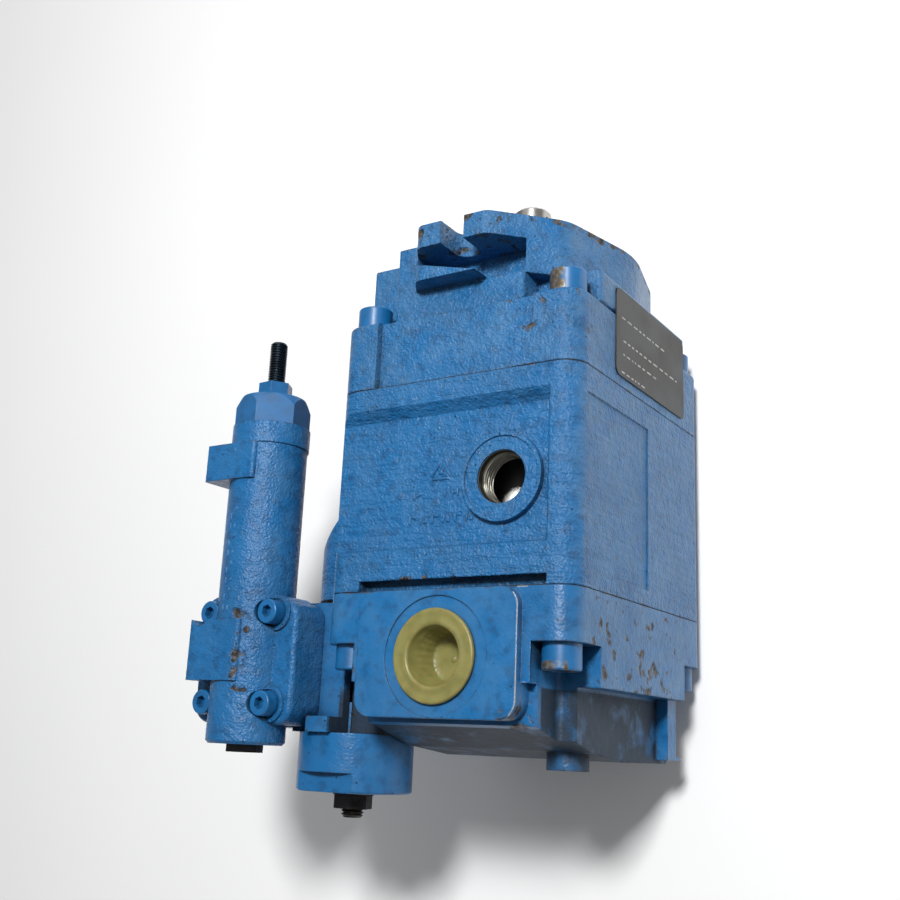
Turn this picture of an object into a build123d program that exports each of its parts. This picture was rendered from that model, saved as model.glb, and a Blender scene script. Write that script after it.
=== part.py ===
from build123d import *

import os
from math import cos, pi, radians, sin

# Variable-displacement axial piston pump with a tilting yoke, side ports, a two-bolt
# mounting flange and a pressure compensator. Millimetres.
# Origin: centre of the mounting face, on the shaft axis. +Y points out of the drive
# shaft, +Z is the side with the case drain, and +X is the side with the nameplate.

# --- Mounting flange -------------------------------------------------------------
PILOT_R = 50.8
PILOT_H = 9.5
BOLT_REACH = 73.0        # shaft axis to each mounting bolt
SLOT_W = 14.3
EAR_TIP = 88.0           # shaft axis to the end of an ear
EAR_HALF_W = 25.0
EAR_CORNER_R = 7.0
EAR_T = 13.0
NECK_R = 64.5            # round body behind the flange
EAR_BLEND = (30.0, 44.0, 25.0)   # circle that the right side of each ear swells over: x, z, radius
FLANGE_REAR = -32.0
POCKET_LEFT = -28.0      # wrench pocket under each ear
POCKET_RIGHT = 36.5
POCKET_FLOOR = 58.0
POCKET_DEPTH_LEFT = 21.0
POCKET_DEPTH_RIGHT = 32.0

# --- Case, seen along the shaft --------------------------------------------------
CASE_X = 72.3            # half width
CASE_Z = 83.4            # half height
CASE_CORNER_R = 12.0
INNER_X = 60.0
INNER_Z = 66.0
INNER_CORNER_R = 20.0

# --- Lengths along the shaft, from the mounting face -----------------------------
PLATE_FRONT = -49.0      # where the corner plate of the front cover starts
JOINT_FRONT = -87.0      # front cover meets its gasket
GASKET_T = 0.5
HOUSING_REAR = -196.0
RIM_REAR = -241.0        # rear edge of the valve block's wide rim
BLOCK_REAR = -274.5
CAVITY_FRONT = -55.0     # front end of the case cavity's square part
DOME_FRONT = -42.0       # and of its round part
DOME_R = 52.0

# --- Front cover details ---------------------------------------------------------
SHOULDER_X = -43.7       # left side of the thick part behind the ears
SHOULDER_Z = 75.0
SHOULDER_FRONT = -5.0
WALL_LEFT_FRONT = -5.5
WALL_RIGHT_FRONT = -31.0
WALL_Z = 57.6
LUG_LEFT = -48.0
LUG_RIGHT = 47.0
LUG_FOOT = 36.6
LUG_FOOT_FRONT = -66.0
PANEL_DEPTH = 4.5

# --- Nameplate -------------------------------------------------------------------
PLATE_Y = -58.0
PLATE_Z = -7.0
PLATE_W = 48.0
PLATE_L = 94.0
PLATE_T = 0.8
PLATE_CORNER_R = 4.0

# --- Case bolts ------------------------------------------------------------------
BOLT_X = 60.0
BOLT_Z = 70.0
BOLT_R = 6.35
BOLT_HEAD_R = 9.53
BOLT_HEAD_H = 12.7
BOLT_KEY_AF = 9.5
BOLT_GRIP = 70.0
REAR_SEAT = -222.0

# --- Mid housing details ---------------------------------------------------------
RECESS_RIGHT = 58.0
RECESS_FRONT = -105.0
RECESS_REAR = -174.0
RECESS_DEPTH = 5.0
UNDERCUT_LEFT = -50.0
UNDERCUT_H = 7.0
DRAIN_X = 30.7
DRAIN_Y = -142.0
DRAIN_FACE = 82.0
DRAIN_BOSS_R = 22.5
DRAIN_SPOT_R = 20.5
DRAIN_R = 13.5
SIDE_STEP_Z = -3.0        # the broad side is 0.7 mm lower from here to the corner
SIDE_STEP = 0.7
BULGE_R = 25.0
BULGE_FRONT = -152.0
BULGE_SLOPE = 24.0

# --- Valve block details ---------------------------------------------------------
PAD_LEFT = -45.0
PAD_RIGHT = 45.8
PAD_FRONT = -197.0
PAD_REAR = -258.0
PAD_Z = 88.0
PAD_CORNER_R = 9.0
PORT_X = 1.0
PORT_Y = -229.0
PORT_R = 20.5
PORT_SPOT_R = 29.0
PORT_DEPTH = 42.0
PASSAGE_R = 13.0
NOTCH_X = 50.0           # corner notches that clear the rear bolt heads
NOTCH_Z = 53.6
CORE_X = 60.0
CORE_Z = 75.0
CORE_LOW_Z = -66.0
RIB_X = 67.0
RIB_TOP = -42.0
RIB_LOW = -60.0
GALLERY_X = (-24.0, 24.0)
GALLERY_Z = -34.0
GALLERY_R = 9.0
BOSS_X = 43.0
BOSS_Z = 28.0
BOSS_R = 10.5
BOSS_REAR = -279.5

# --- Control side: arm, cap and stop screw ---------------------------------------
ARM_LEFT = -157.0
ARM_FRONT = -197.5
ARM_REAR = -264.0
ARM_TOP = 60.0
ARM_LOW = 12.0
CONTROL_X = -79.0
CONTROL_Z = 38.0
CONTROL_R = 17.0
CONTROL_BOSS_R = 35.0
CONTROL_BOSS_REAR = -266.0
CAP_R = 31.0
CAP_REAR = -296.0
CAP_FLAT = 25.5
STOP_R = 6.0
PLUNGER_R = 9.0
PLUNGER_REAR = -279.0

# --- Compensator -----------------------------------------------------------------
COMP_X = -123.0
COMP_Z = 78.0
COMP_R = 21.0
COMP_BASE_LEFT = -157.0
COMP_BASE_RIGHT = -89.0
COMP_BASE_FRONT = -198.5
COMP_BASE_REAR = -263.5
COMP_BASE_TOP = 84.0
COMP_BASE_CORNER_R = 10.0
COMP_FRONT = -100.5
COMP_REAR = -274.0
BRIDGE_LEFT = -150.5
BRIDGE_RIGHT = -115.0
BRIDGE_TOP = 100.0
BRIDGES = ((-133.0, -112.5), (-242.0, -210.0))
COMP_SCREW_X = 20.5
COMP_SCREW_FRONT = -205.5
COMP_SCREW_REAR = -253.0
COMP_SCREW_R = 4.0
COMP_SCREW_HEAD_R = 6.5
COMP_SCREW_HEAD_H = 8.0
COMP_SCREW_GRIP = 30.0
SPRING_CHAMBER_R = 11.0
SPRING_CHAMBER_REAR = -158.0
SPOOL_R = 5.0
SPRING_CAP_AF = 36.5
SPRING_CAP_FRONT = -83.0
SPRING_CAP_TURN = 16.0
STUD_R = 5.0
STUD_FRONT = -48.0
STUD_REAR = -104.0
SPRING_FRONT = -110.0     # the compensator's spring, between its seat and the spool
SPRING_REAR = -152.0
SPRING_SEAT_R = 9.6
NUT_AF = 17.0
NUT_FRONT = -73.5
NUT_REAR = -82.0

# --- Shipping plug ---------------------------------------------------------------
PLUG_RIM_R = 23.0
PLUG_RECESS_R = 15.0
PLUG_DEPTH = 22.0

# --- Rotating group --------------------------------------------------------------
SHAFT_TIP = 41.3
SHAFT_END_R = 11.1
SEAL_SEAT_R = 15.0
SEAL_R = 26.0
SEAL_FRONT = 2.5
SEAL_REAR = -7.5
BEARING_SEAT_R = 17.5
SHAFT_BODY_R = 15.0
SHAFT_REAR = -222.0
SHAFT_REAR_R = 10.0
KEY_W = 6.35             # keyway, open: the key comes with the coupling
KEYWAY_L = 25.4
KEYWAY_DEPTH = 3.3
KEYWAY_FRONT = 36.0
PIVOT_Y = JOINT_FRONT
PISTONS = 9
PITCH_R = 32.0           # shaft axis to each piston axis
PISTON_R = 9.0
PISTON_L = 63.0
BALL_R = 6.0
PISTON_NECK = 10.0
SHOE_R = 10.0
SHOE_FOOT_T = 4.0
SHOE_NECK_R = 7.6
YOKE_FACE = 8.0          # pivot plane to the face that the shoes run on
YOKE_BORE_R = 20.2
BLOCK_R = 45.0
BLOCK_FRONT = -120.0
BORE_REAR = -177.0        # end of the piston bores
PORT_HOLE_R = 4.2
GUIDE_REAR = -104.0
GUIDE_BALL_R = 20.5
VALVE_PLATE_T = 6.0
FRONT_BEARING_R = 36.0
FRONT_BEARING_FRONT = -20.0
FRONT_BEARING_T = 18.0
REAR_BEARING_R = 16.0
REAR_BEARING_T = 20.0
TRUNNION_R = 10.0
TRUNNION_BEARING_R = 15.0
TRUNNION_IN = 66.0
TRUNNION_OUT = 76.0

# --- Yoke control ----------------------------------------------------------------
LEVER_X = -52.0          # ball of the control rod, where the yoke's lever takes it
LEVER_R = 7.0
LEVER_DROP = 8.0         # that ball's centre behind the pivot plane
ROD_END_Y = -212.0
ROD_R = 3.4
ROD_ROOM = 5.1           # how far the rod swings aside, and a little more
ROD_BALL_R = 5.2
BIAS_X = 44.0
BIAS_Z = -48.0
BIAS_R = 10.8
BIAS_REAR = -182.0
BIAS_CROWN = -142.0       # inside of the bias piston's closed end
BIAS_GUIDE_R = 13.0
BIAS_GUIDE_FRONT = -150.0

# --- Clearances ------------------------------------------------------------------
SLIP = 0.05              # running fit, on the radius
SEAT_GAP = 0.1           # locating gap between pieces that never move
HOLE_GAP = 0.4           # clearance hole, on the radius
FREE_GAP = 0.2           # between faces that slide on an oil film

HOUSING_FRONT = JOINT_FRONT - GASKET_T
BLOCK_FACE = HOUSING_REAR - GASKET_T
PLATE_TOP = BLOCK_FACE + VALVE_PLATE_T


def block(x_low, x_high, y_low, y_high, z_low, z_high):
    centre = ((x_low + x_high) / 2, (y_low + y_high) / 2, (z_low + z_high) / 2)
    return Pos(*centre) * Box(x_high - x_low, y_high - y_low, z_high - z_low)


def rod_y(radius, y_low, y_high, x=0.0, z=0.0):
    return Pos(x, (y_low + y_high) / 2, z) * Rot(X=90) * Cylinder(radius, y_high - y_low)


def rod_z(radius, z_low, z_high, x=0.0, y=0.0):
    return Pos(x, y, (z_low + z_high) / 2) * Cylinder(radius, z_high - z_low)


def rod_between(radius, start, end):
    """A straight rod from one point to another."""
    return extrude(Plane(origin=start, z_dir=Vector(*end) - Vector(*start)) * Circle(radius),
                   (Vector(*end) - Vector(*start)).length)


def prism_y(outline, y_low, y_high):
    """Extrudes an outline drawn in X and Z along the shaft."""
    plane = Plane(origin=(0, y_high, 0), x_dir=(1, 0, 0), z_dir=(0, -1, 0))
    return extrude(plane * outline, y_high - y_low, dir=(0, -1, 0))


def slab(points, origin, x_dir, z_dir, depth):
    """A polygon drawn on a plane through origin, extruded along the plane's normal."""
    plane = Plane(origin=origin, x_dir=x_dir, z_dir=z_dir)
    return extrude(plane * Polygon(*points, align=None), depth, dir=z_dir)


def ring_y(outer, inner, y_low, y_high, x=0.0, z=0.0):
    return rod_y(outer, y_low, y_high, x, z) - rod_y(inner, y_low - 1, y_high + 1, x, z)


def hex_y(across_flats, y_low, y_high, x, z, turn=0.0):
    outline = RegularPolygon(across_flats / 2, 6, major_radius=False, rotation=turn)
    return prism_y(Pos(x, z) * outline, y_low, y_high)


def coil_y(mean_r, wire_r, y_low, y_high, turns, x=0.0, z=0.0):
    """A compression spring along the shaft direction, between two planes."""
    height = y_high - y_low - 2 * wire_r
    path = Helix(height / turns, height, mean_r)
    wire = sweep(Plane(origin=path @ 0, z_dir=path % 0) * Circle(wire_r), path, is_frenet=True)
    return Pos(x, y_low + wire_r, z) * Rot(X=-90) * wire


def mirrored(shape):
    """The shape and its mirror image on the other side of the shaft axis."""
    return shape + mirror(shape, Plane.XY)


def case_outline(shrink=0.0):
    return RectangleRounded(2 * (CASE_X - shrink), 2 * (CASE_Z - shrink), CASE_CORNER_R - shrink)


def inner_outline():
    return RectangleRounded(2 * INNER_X, 2 * INNER_Z, INNER_CORNER_R)


def flange_outline():
    corner_x = EAR_HALF_W - EAR_CORNER_R
    corner_z = EAR_TIP - EAR_CORNER_R
    rounds = Circle(NECK_R).edges()
    for x in (-corner_x, corner_x):
        for z in (-corner_z, corner_z):
            rounds += (Pos(x, z) * Circle(EAR_CORNER_R)).edges()
    blend_x, blend_z, blend_r = EAR_BLEND
    for z in (-blend_z, blend_z):
        rounds += (Pos(blend_x, z) * Circle(blend_r)).edges()
    return make_hull(rounds)


def corner_rods(radius, y_low, y_high):
    """Four rods on the axes of the case bolts."""
    rods = Part()
    for x in (-BOLT_X, BOLT_X):
        for z in (-BOLT_Z, BOLT_Z):
            rods += rod_y(radius, y_low, y_high, x, z)
    return rods


def trunnion_pockets(radius):
    """Round pockets in the case walls that hold the yoke's bearings."""
    return rod_z(radius, -TRUNNION_OUT - 1, TRUNNION_OUT + 1, 0, PIVOT_Y)


# --- Case ------------------------------------------------------------------------

def bolt_slots():
    slot = rod_y(SLOT_W / 2, -EAR_T - 1, 1, 0, BOLT_REACH)
    slot += block(-SLOT_W / 2, SLOT_W / 2, -EAR_T - 1, 1, BOLT_REACH, EAR_TIP + 1)
    return mirrored(slot)


def ear_pockets():
    """Room for the mounting bolts' heads, under each ear, with a sloping lower wall."""
    points = [
        (POCKET_LEFT, -EAR_T),
        (POCKET_RIGHT, -EAR_T),
        (POCKET_RIGHT, -POCKET_DEPTH_RIGHT),
        (POCKET_RIGHT - 22, -POCKET_DEPTH_RIGHT),
        (POCKET_LEFT, -POCKET_DEPTH_LEFT),
    ]
    pocket = slab(points, (0, 0, POCKET_FLOOR), (1, 0, 0), (0, 0, 1), EAR_TIP)
    low_edges = pocket.edges().filter_by(Axis.Z).filter_by(lambda e: e.center().Y < -EAR_T - 1)
    return mirrored(fillet(low_edges, 3))


def front_cover():
    cover = prism_y(flange_outline(), FLANGE_REAR, 0) + rod_y(NECK_R, PLATE_FRONT, 0)
    plate = prism_y(case_outline(), JOINT_FRONT, PLATE_FRONT)
    plate = fillet(plate.faces().sort_by(Axis.Y)[-1].edges(), 2.0)
    panel = block(LUG_LEFT, LUG_RIGHT, LUG_FOOT_FRONT, 0, CASE_Z - PANEL_DEPTH, CASE_Z + 1)
    panel += block(LUG_LEFT, LUG_FOOT, JOINT_FRONT - 1, 0, CASE_Z - PANEL_DEPTH, CASE_Z + 1)
    panel_corners = panel.edges().filter_by(Axis.Z).filter_by(lambda e: e.center().Y < -1)
    panel = fillet(panel_corners.filter_by(lambda e: e.center().Y > JOINT_FRONT), 4.0)
    cover += plate - mirrored(panel)
    shoulder = block(SHOULDER_X, POCKET_RIGHT, PLATE_FRONT, -POCKET_DEPTH_LEFT, 0, SHOULDER_Z)
    shoulder += block(SHOULDER_X, 0, PLATE_FRONT, SHOULDER_FRONT, 0, SHOULDER_Z)
    cover += mirrored(fillet(shoulder.edges().filter_by(Axis.Y), 3.0))
    left = block(-CASE_X, -20, PLATE_FRONT, WALL_LEFT_FRONT, -WALL_Z, WALL_Z)
    cover += fillet(left.edges().filter_by(lambda e: e.center().X < -CASE_X + 1), 2.5)
    right = block(20, CASE_X, PLATE_FRONT, WALL_RIGHT_FRONT, -WALL_Z, WALL_Z)
    cover += fillet(right.edges().filter_by(lambda e: e.center().X > CASE_X - 1), 2.5)
    cover += rod_y(PILOT_R, -1, PILOT_H)
    cover -= ear_pockets()
    cover -= bolt_slots()
    cover -= prism_y(inner_outline(), JOINT_FRONT - 1, CAVITY_FRONT)
    cover -= rod_y(DOME_R, CAVITY_FRONT - 1, DOME_FRONT)
    cover -= rod_y(FRONT_BEARING_R + SEAT_GAP, DOME_FRONT - 1, FRONT_BEARING_FRONT)
    cover -= rod_y(SEAL_SEAT_R + 4, FRONT_BEARING_FRONT - 1, PILOT_H + 1)
    cover -= rod_y(SEAL_R + SEAT_GAP, SEAL_REAR - 0.5, PILOT_H + 1)
    cover -= trunnion_pockets(TRUNNION_BEARING_R + SEAT_GAP)
    cover -= corner_rods(BOLT_R + HOLE_GAP, JOINT_FRONT - 1, PLATE_FRONT + 1)
    return cover


def case_gaskets():
    """One thin gasket at each joint of the case."""
    front = prism_y(case_outline(0.4), HOUSING_FRONT, JOINT_FRONT)
    front -= prism_y(inner_outline(), HOUSING_FRONT - 1, JOINT_FRONT + 1)
    front -= trunnion_pockets(TRUNNION_BEARING_R + SEAT_GAP)
    front -= corner_rods(BOLT_R + HOLE_GAP, HOUSING_FRONT - 1, JOINT_FRONT + 1)
    rear = prism_y(case_outline(0.4), BLOCK_FACE, HOUSING_REAR)
    rear -= prism_y(inner_outline(), BLOCK_FACE - 1, HOUSING_REAR + 1)
    rear -= corner_rods(BOLT_R + HOLE_GAP, BLOCK_FACE - 1, HOUSING_REAR + 1)
    rear -= rod_y(CONTROL_R, BLOCK_FACE - 1, HOUSING_REAR + 1, CONTROL_X, CONTROL_Z)
    return Compound([front, rear])


def side_recess():
    """The sunk panel on each broad side of the mid housing, with a sloped front wall."""
    low = CASE_Z - RECESS_DEPTH
    points = [
        (RECESS_REAR, low),
        (RECESS_REAR - 2, CASE_Z + 1),
        (RECESS_FRONT + 7, CASE_Z + 1),
        (RECESS_FRONT, low),
    ]
    cut = slab(points, (-CASE_X - 1, 0, 0), (0, 1, 0), (1, 0, 0), RECESS_RIGHT + CASE_X + 1)
    end = cut.faces().sort_by(Axis.X)[-1].edges()
    return chamfer(end.filter_by(lambda e: e.center().Z < low + 0.1), 3.0)


def bulge():
    """Boss on the control side that makes room for the control rod."""
    body = rod_y(BULGE_R, HOUSING_REAR, BULGE_FRONT + BULGE_SLOPE, CONTROL_X, CONTROL_Z)
    far = CONTROL_X - BULGE_R - 1
    points = [
        (far, BULGE_FRONT - BULGE_SLOPE),
        (far, BULGE_FRONT + BULGE_SLOPE + 1),
        (-CASE_X + 14, BULGE_FRONT + BULGE_SLOPE + 1),
    ]
    low = CONTROL_Z - BULGE_R - 1
    return body - slab(points, (0, 0, low), (1, 0, 0), (0, 0, 1), 2 * BULGE_R + 2)


def rod_channel(clearance):
    lever = (LEVER_X, PIVOT_Y - LEVER_DROP - 8, CONTROL_Z)
    end = (CONTROL_X, ROD_END_Y, CONTROL_Z)
    return rod_between(ROD_R + clearance, lever, end)


def mid_housing():
    housing = prism_y(case_outline(), HOUSING_REAR, HOUSING_FRONT)
    housing += bulge()
    housing -= mirrored(side_recess())
    undercut = block(UNDERCUT_LEFT, RECESS_RIGHT, HOUSING_REAR - 1, HOUSING_REAR + UNDERCUT_H,
                     CASE_Z - UNDERCUT_H, CASE_Z + 1)
    undercut = chamfer(undercut.edges().filter_by(Axis.X).sort_by(Axis.Y)[-1:], 3.0)
    housing -= undercut
    step = block(CASE_X - SIDE_STEP, CASE_X + 1, RECESS_REAR - 14, RECESS_FRONT + 4,
                 SIDE_STEP_Z, CASE_Z - CASE_CORNER_R)
    housing -= chamfer(step.edges().filter_by(Axis.Z).sort_by(Axis.X)[:2], SIDE_STEP / 2)
    housing += rod_z(DRAIN_BOSS_R, INNER_Z + 2, DRAIN_FACE, DRAIN_X, DRAIN_Y)
    housing -= prism_y(inner_outline(), HOUSING_REAR - 1, HOUSING_FRONT + 1)
    housing -= rod_z(DRAIN_SPOT_R, DRAIN_FACE - 0.8, DRAIN_FACE + 5, DRAIN_X, DRAIN_Y)
    housing -= rod_z(DRAIN_R, 0, DRAIN_FACE + 5, DRAIN_X, DRAIN_Y)
    housing -= trunnion_pockets(TRUNNION_BEARING_R + SEAT_GAP)
    housing -= corner_rods(BOLT_R + SEAT_GAP, PLATE_FRONT - BOLT_GRIP - 2, HOUSING_FRONT + 1)
    housing -= corner_rods(BOLT_R + SEAT_GAP, HOUSING_REAR - 1, REAR_SEAT + BOLT_GRIP + 2)
    housing -= rod_y(CONTROL_R, HOUSING_REAR - 1, HOUSING_REAR + 12, CONTROL_X, CONTROL_Z)
    return housing - rod_channel(ROD_ROOM)


def port(side):
    """A straight-thread port in the pad on one side, with a passage to the valve plate."""
    hole = rod_z(PORT_R, PAD_Z - PORT_DEPTH, PAD_Z + 1, PORT_X, PORT_Y)
    hole += rod_z(PORT_SPOT_R, PAD_Z - 0.8, PAD_Z + 1, PORT_X, PORT_Y)
    hole += rod_y(PASSAGE_R, PORT_Y, BLOCK_FACE + 1, PORT_X, PITCH_R + 25)
    hole += rod_y(PISTON_R, BLOCK_FACE - 14, BLOCK_FACE + 1, PORT_X, PITCH_R)
    hole += block(PORT_X - PISTON_R, PORT_X + PISTON_R, BLOCK_FACE - 14, BLOCK_FACE - 4,
                  PITCH_R, PITCH_R + 25)
    return hole if side > 0 else mirror(hole, Plane.XY)


def core():
    """The narrower rear part, with its end sloped away towards the ports."""
    points = [
        (CORE_LOW_Z, RIM_REAR + 4),
        (CORE_LOW_Z, BLOCK_REAR + 10),
        (CORE_LOW_Z + 10, BLOCK_REAR),
        (CORE_Z - 75, BLOCK_REAR),
        (CORE_Z - 37, BLOCK_REAR + 4),
        (CORE_Z, PAD_REAR - 2),
        (CORE_Z, RIM_REAR + 4),
    ]
    return slab(points, (CORE_X, 0, 0), (0, 0, 1), (-1, 0, 0), CORE_X - PAD_LEFT)


def valve_block():
    body = prism_y(case_outline(), RIM_REAR, BLOCK_FACE)
    body += core()
    rib = block(0, RIB_X, BLOCK_REAR + 2, RIM_REAR + 1, RIB_LOW, RIB_TOP)
    body += rib
    pad = block(PAD_LEFT, PAD_RIGHT, PAD_REAR, PAD_FRONT, 20, PAD_Z)
    body += mirrored(fillet(pad.edges().filter_by(Axis.Z), PAD_CORNER_R))
    body += rod_y(BOSS_R, BOSS_REAR, BLOCK_REAR + 10, BOSS_X, BOSS_Z)
    notch = block(NOTCH_X, CASE_X + 1, RIM_REAR - 30, REAR_SEAT, NOTCH_Z, CASE_Z + 1)
    notch = fillet(notch.edges().filter_by(Axis.Y).sort_by(Axis.X)[:2], 3.0)
    notches = notch + mirror(notch, Plane.YZ)
    arm = block(ARM_LEFT, -CASE_X + 20, ARM_REAR, ARM_FRONT, ARM_LOW, ARM_TOP)
    arm = fillet(arm.edges().filter_by(Axis.Z).sort_by(Axis.X)[:2], 6.0)
    body += arm - notches
    boss = rod_y(CONTROL_BOSS_R, CONTROL_BOSS_REAR, ARM_REAR + 6, CONTROL_X, CONTROL_Z)
    body += boss - block(ARM_LEFT, COMP_BASE_RIGHT + 1, CONTROL_BOSS_REAR - 1, ARM_FRONT,
                         ARM_TOP, COMP_BASE_TOP)
    body -= mirrored(notches)
    body -= port(1)
    body -= port(-1)
    body -= rod_y(REAR_BEARING_R + SEAT_GAP, SHAFT_REAR - 2, BLOCK_FACE + 1)
    for x in GALLERY_X:
        body -= rod_y(GALLERY_R + SEAT_GAP, BLOCK_REAR - 1, BLOCK_REAR + 16, x, GALLERY_Z)
    body -= corner_rods(BOLT_R + HOLE_GAP, RIM_REAR - 1, BLOCK_FACE + 1)
    body -= rod_y(CONTROL_R + SLIP, CONTROL_BOSS_REAR - 1, BLOCK_FACE + 1, CONTROL_X, CONTROL_Z)
    for x in (-COMP_SCREW_X, COMP_SCREW_X):
        for y in (COMP_SCREW_FRONT, COMP_SCREW_REAR):
            low = COMP_BASE_TOP - COMP_SCREW_GRIP - 2
            body -= rod_z(COMP_SCREW_R + SEAT_GAP, low, ARM_TOP + 1, COMP_X + x, y)
    return body


def socket_bolt(y_seat, direction, x, z):
    """A socket-head bolt with its seat at y_seat and its head on the side of direction."""
    head = rod_y(BOLT_HEAD_R, 0, BOLT_HEAD_H)
    head = fillet(head.edges().sort_by(Axis.Y)[-1], 1.0)
    head -= hex_y(BOLT_KEY_AF, BOLT_HEAD_H - 6.5, BOLT_HEAD_H + 1, 0, 0, 10)
    bolt = head + rod_y(BOLT_R, -BOLT_GRIP, 0.5)
    if direction < 0:
        bolt = Rot(X=180) * bolt
    return Pos(x, y_seat, z) * bolt


def case_bolts(y_seat, direction):
    bolts = [socket_bolt(y_seat, direction, x, z)
             for x in (-BOLT_X, BOLT_X) for z in (-BOLT_Z, BOLT_Z)]
    return Compound(bolts)


def nameplate():
    plane = Plane(origin=(CASE_X, PLATE_Y, PLATE_Z), x_dir=(0, 1, 0), z_dir=(1, 0, 0))
    return extrude(plane * RectangleRounded(PLATE_W, PLATE_L, PLATE_CORNER_R), PLATE_T)


# --- Rotating group --------------------------------------------------------------

def shaft():
    body = rod_y(SHAFT_END_R, 0, SHAFT_TIP)
    body = chamfer(body.edges().sort_by(Axis.Y)[-1], 1.5)
    body += rod_y(SEAL_SEAT_R, -21, 0)
    body += rod_y(BEARING_SEAT_R, FRONT_BEARING_FRONT - FRONT_BEARING_T, -21)
    body += rod_y(BEARING_SEAT_R + 3, FRONT_BEARING_FRONT - FRONT_BEARING_T - 5,
                  FRONT_BEARING_FRONT - FRONT_BEARING_T)
    body += rod_y(SHAFT_BODY_R, PLATE_TOP - 1, -42)
    body += rod_y(SHAFT_REAR_R, SHAFT_REAR, PLATE_TOP)
    slot = block(SHAFT_END_R - KEYWAY_DEPTH, SHAFT_END_R + 5, KEYWAY_FRONT - KEYWAY_L,
                 KEYWAY_FRONT, -KEY_W / 2, KEY_W / 2)
    return body - slot


def shaft_seal():
    ring = ring_y(SEAL_R, SEAL_SEAT_R + 0.3, SEAL_REAR, SEAL_FRONT)
    return ring - ring_y(SEAL_R - 3, SEAL_SEAT_R + 3, SEAL_REAR - 0.5, SEAL_REAR + 4.5)


def front_bearing_cup():
    rear = FRONT_BEARING_FRONT - FRONT_BEARING_T
    return ring_y(FRONT_BEARING_R, FRONT_BEARING_R - 6, rear, FRONT_BEARING_FRONT - SEAT_GAP)


def front_bearing_cone():
    """Inner ring with its rollers, which turn with the shaft."""
    rear = FRONT_BEARING_FRONT - FRONT_BEARING_T
    inner = ring_y(BEARING_SEAT_R + 5.5, BEARING_SEAT_R, rear, FRONT_BEARING_FRONT - 1)
    pieces = [inner]
    roller_r = (FRONT_BEARING_R - 6 - BEARING_SEAT_R - 5.5 - 4 * SLIP) / 2
    path_r = BEARING_SEAT_R + 5.5 + SLIP + roller_r
    for k in range(14):
        turn = radians(360 / 14 * k)
        pieces.append(rod_y(roller_r, rear + 2.5, FRONT_BEARING_FRONT - 3.5,
                            path_r * cos(turn), path_r * sin(turn)))
    return Compound(pieces)


def rear_needle_bearing():
    front = BLOCK_FACE - 2
    rear = front - REAR_BEARING_T
    pieces = [ring_y(REAR_BEARING_R, REAR_BEARING_R - 2.5, rear, front)]
    needle_r = (REAR_BEARING_R - 2.5 - SHAFT_REAR_R - 2 * SLIP) / 2
    path_r = SHAFT_REAR_R + SLIP + needle_r
    for k in range(18):
        turn = radians(20 * k)
        pieces.append(rod_y(needle_r - SLIP / 2, rear + 2, front - 2,
                            path_r * cos(turn), path_r * sin(turn)))
    return Compound(pieces)


def kidney(y_low, y_high, start, sweep_deg, width):
    """A curved slot on the piston circle, from one angle to another."""
    ends = [radians(start), radians(start + sweep_deg)]
    slot = ring_y(PITCH_R + width / 2, PITCH_R - width / 2, y_low, y_high)
    reach = 2 * BLOCK_R
    middle = radians(start + sweep_deg / 2)
    wedge = Polygon(
        (0, 0),
        (reach * cos(ends[0]), reach * sin(ends[0])),
        (reach * cos(middle), reach * sin(middle)),
        (reach * cos(ends[1]), reach * sin(ends[1])),
        align=None,
    )
    slot &= prism_y(wedge, y_low - 1, y_high + 1)
    for end in ends:
        slot += rod_y(width / 2, y_low, y_high, PITCH_R * cos(end), PITCH_R * sin(end))
    return slot


def valve_plate():
    plate = ring_y(BLOCK_R, REAR_BEARING_R + 1, BLOCK_FACE, PLATE_TOP - FREE_GAP / 2)
    for start in (22, 202):
        plate -= kidney(BLOCK_FACE - 1, PLATE_TOP + 1, start, 136, 9)
    return plate


def piston_place(k):
    turn = 2 * pi * k / PISTONS
    return PITCH_R * cos(turn), PITCH_R * sin(turn)


def cylinder_block():
    rear = PLATE_TOP + FREE_GAP / 2
    body = rod_y(BLOCK_R, rear, BLOCK_FRONT)
    body = chamfer(body.edges().sort_by(Axis.Y)[-1], 2.0)
    body -= rod_y(SHAFT_BODY_R, rear - 1, BLOCK_FRONT + 1)
    body -= rod_y(SHAFT_BODY_R + 6, BORE_REAR - 1, BLOCK_FRONT + 1)
    for k in range(PISTONS):
        x, z = piston_place(k)
        body -= rod_y(PISTON_R + SLIP, BORE_REAR, BLOCK_FRONT + 1, x, z)
        body -= rod_y(PORT_HOLE_R, rear - 1, BORE_REAR + 1, x, z)
    return body


def block_spring():
    return coil_y(SHAFT_BODY_R + 3, 1.7, BORE_REAR - 0.5, GUIDE_REAR - 0.5, 7)


def retainer_guide():
    """Collar on the shaft whose ball face centres the shoe retainer on the pivot."""
    ball = Pos(0, PIVOT_Y, 0) * Sphere(GUIDE_BALL_R)
    collar = ball & rod_y(30, PIVOT_Y - 11, PIVOT_Y + 6)
    collar += rod_y(SHAFT_BODY_R + 5.5, GUIDE_REAR, PIVOT_Y - 10)
    return collar - rod_y(SHAFT_BODY_R, -110, PIVOT_Y + 20)


def retainer_plate():
    front = PIVOT_Y + YOKE_FACE - SHOE_FOOT_T - 2 * FREE_GAP
    plate = rod_y(BLOCK_R - 1, front - 3.5, front)
    plate -= Pos(0, PIVOT_Y, 0) * Sphere(GUIDE_BALL_R + SLIP)
    plate -= rod_y(GUIDE_BALL_R - 1, front - 10, front + 1)
    for k in range(PISTONS):
        x, z = piston_place(k)
        plate -= rod_y(SHOE_NECK_R + 1.8, front - 5, front + 1, x, z)
    return plate


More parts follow.
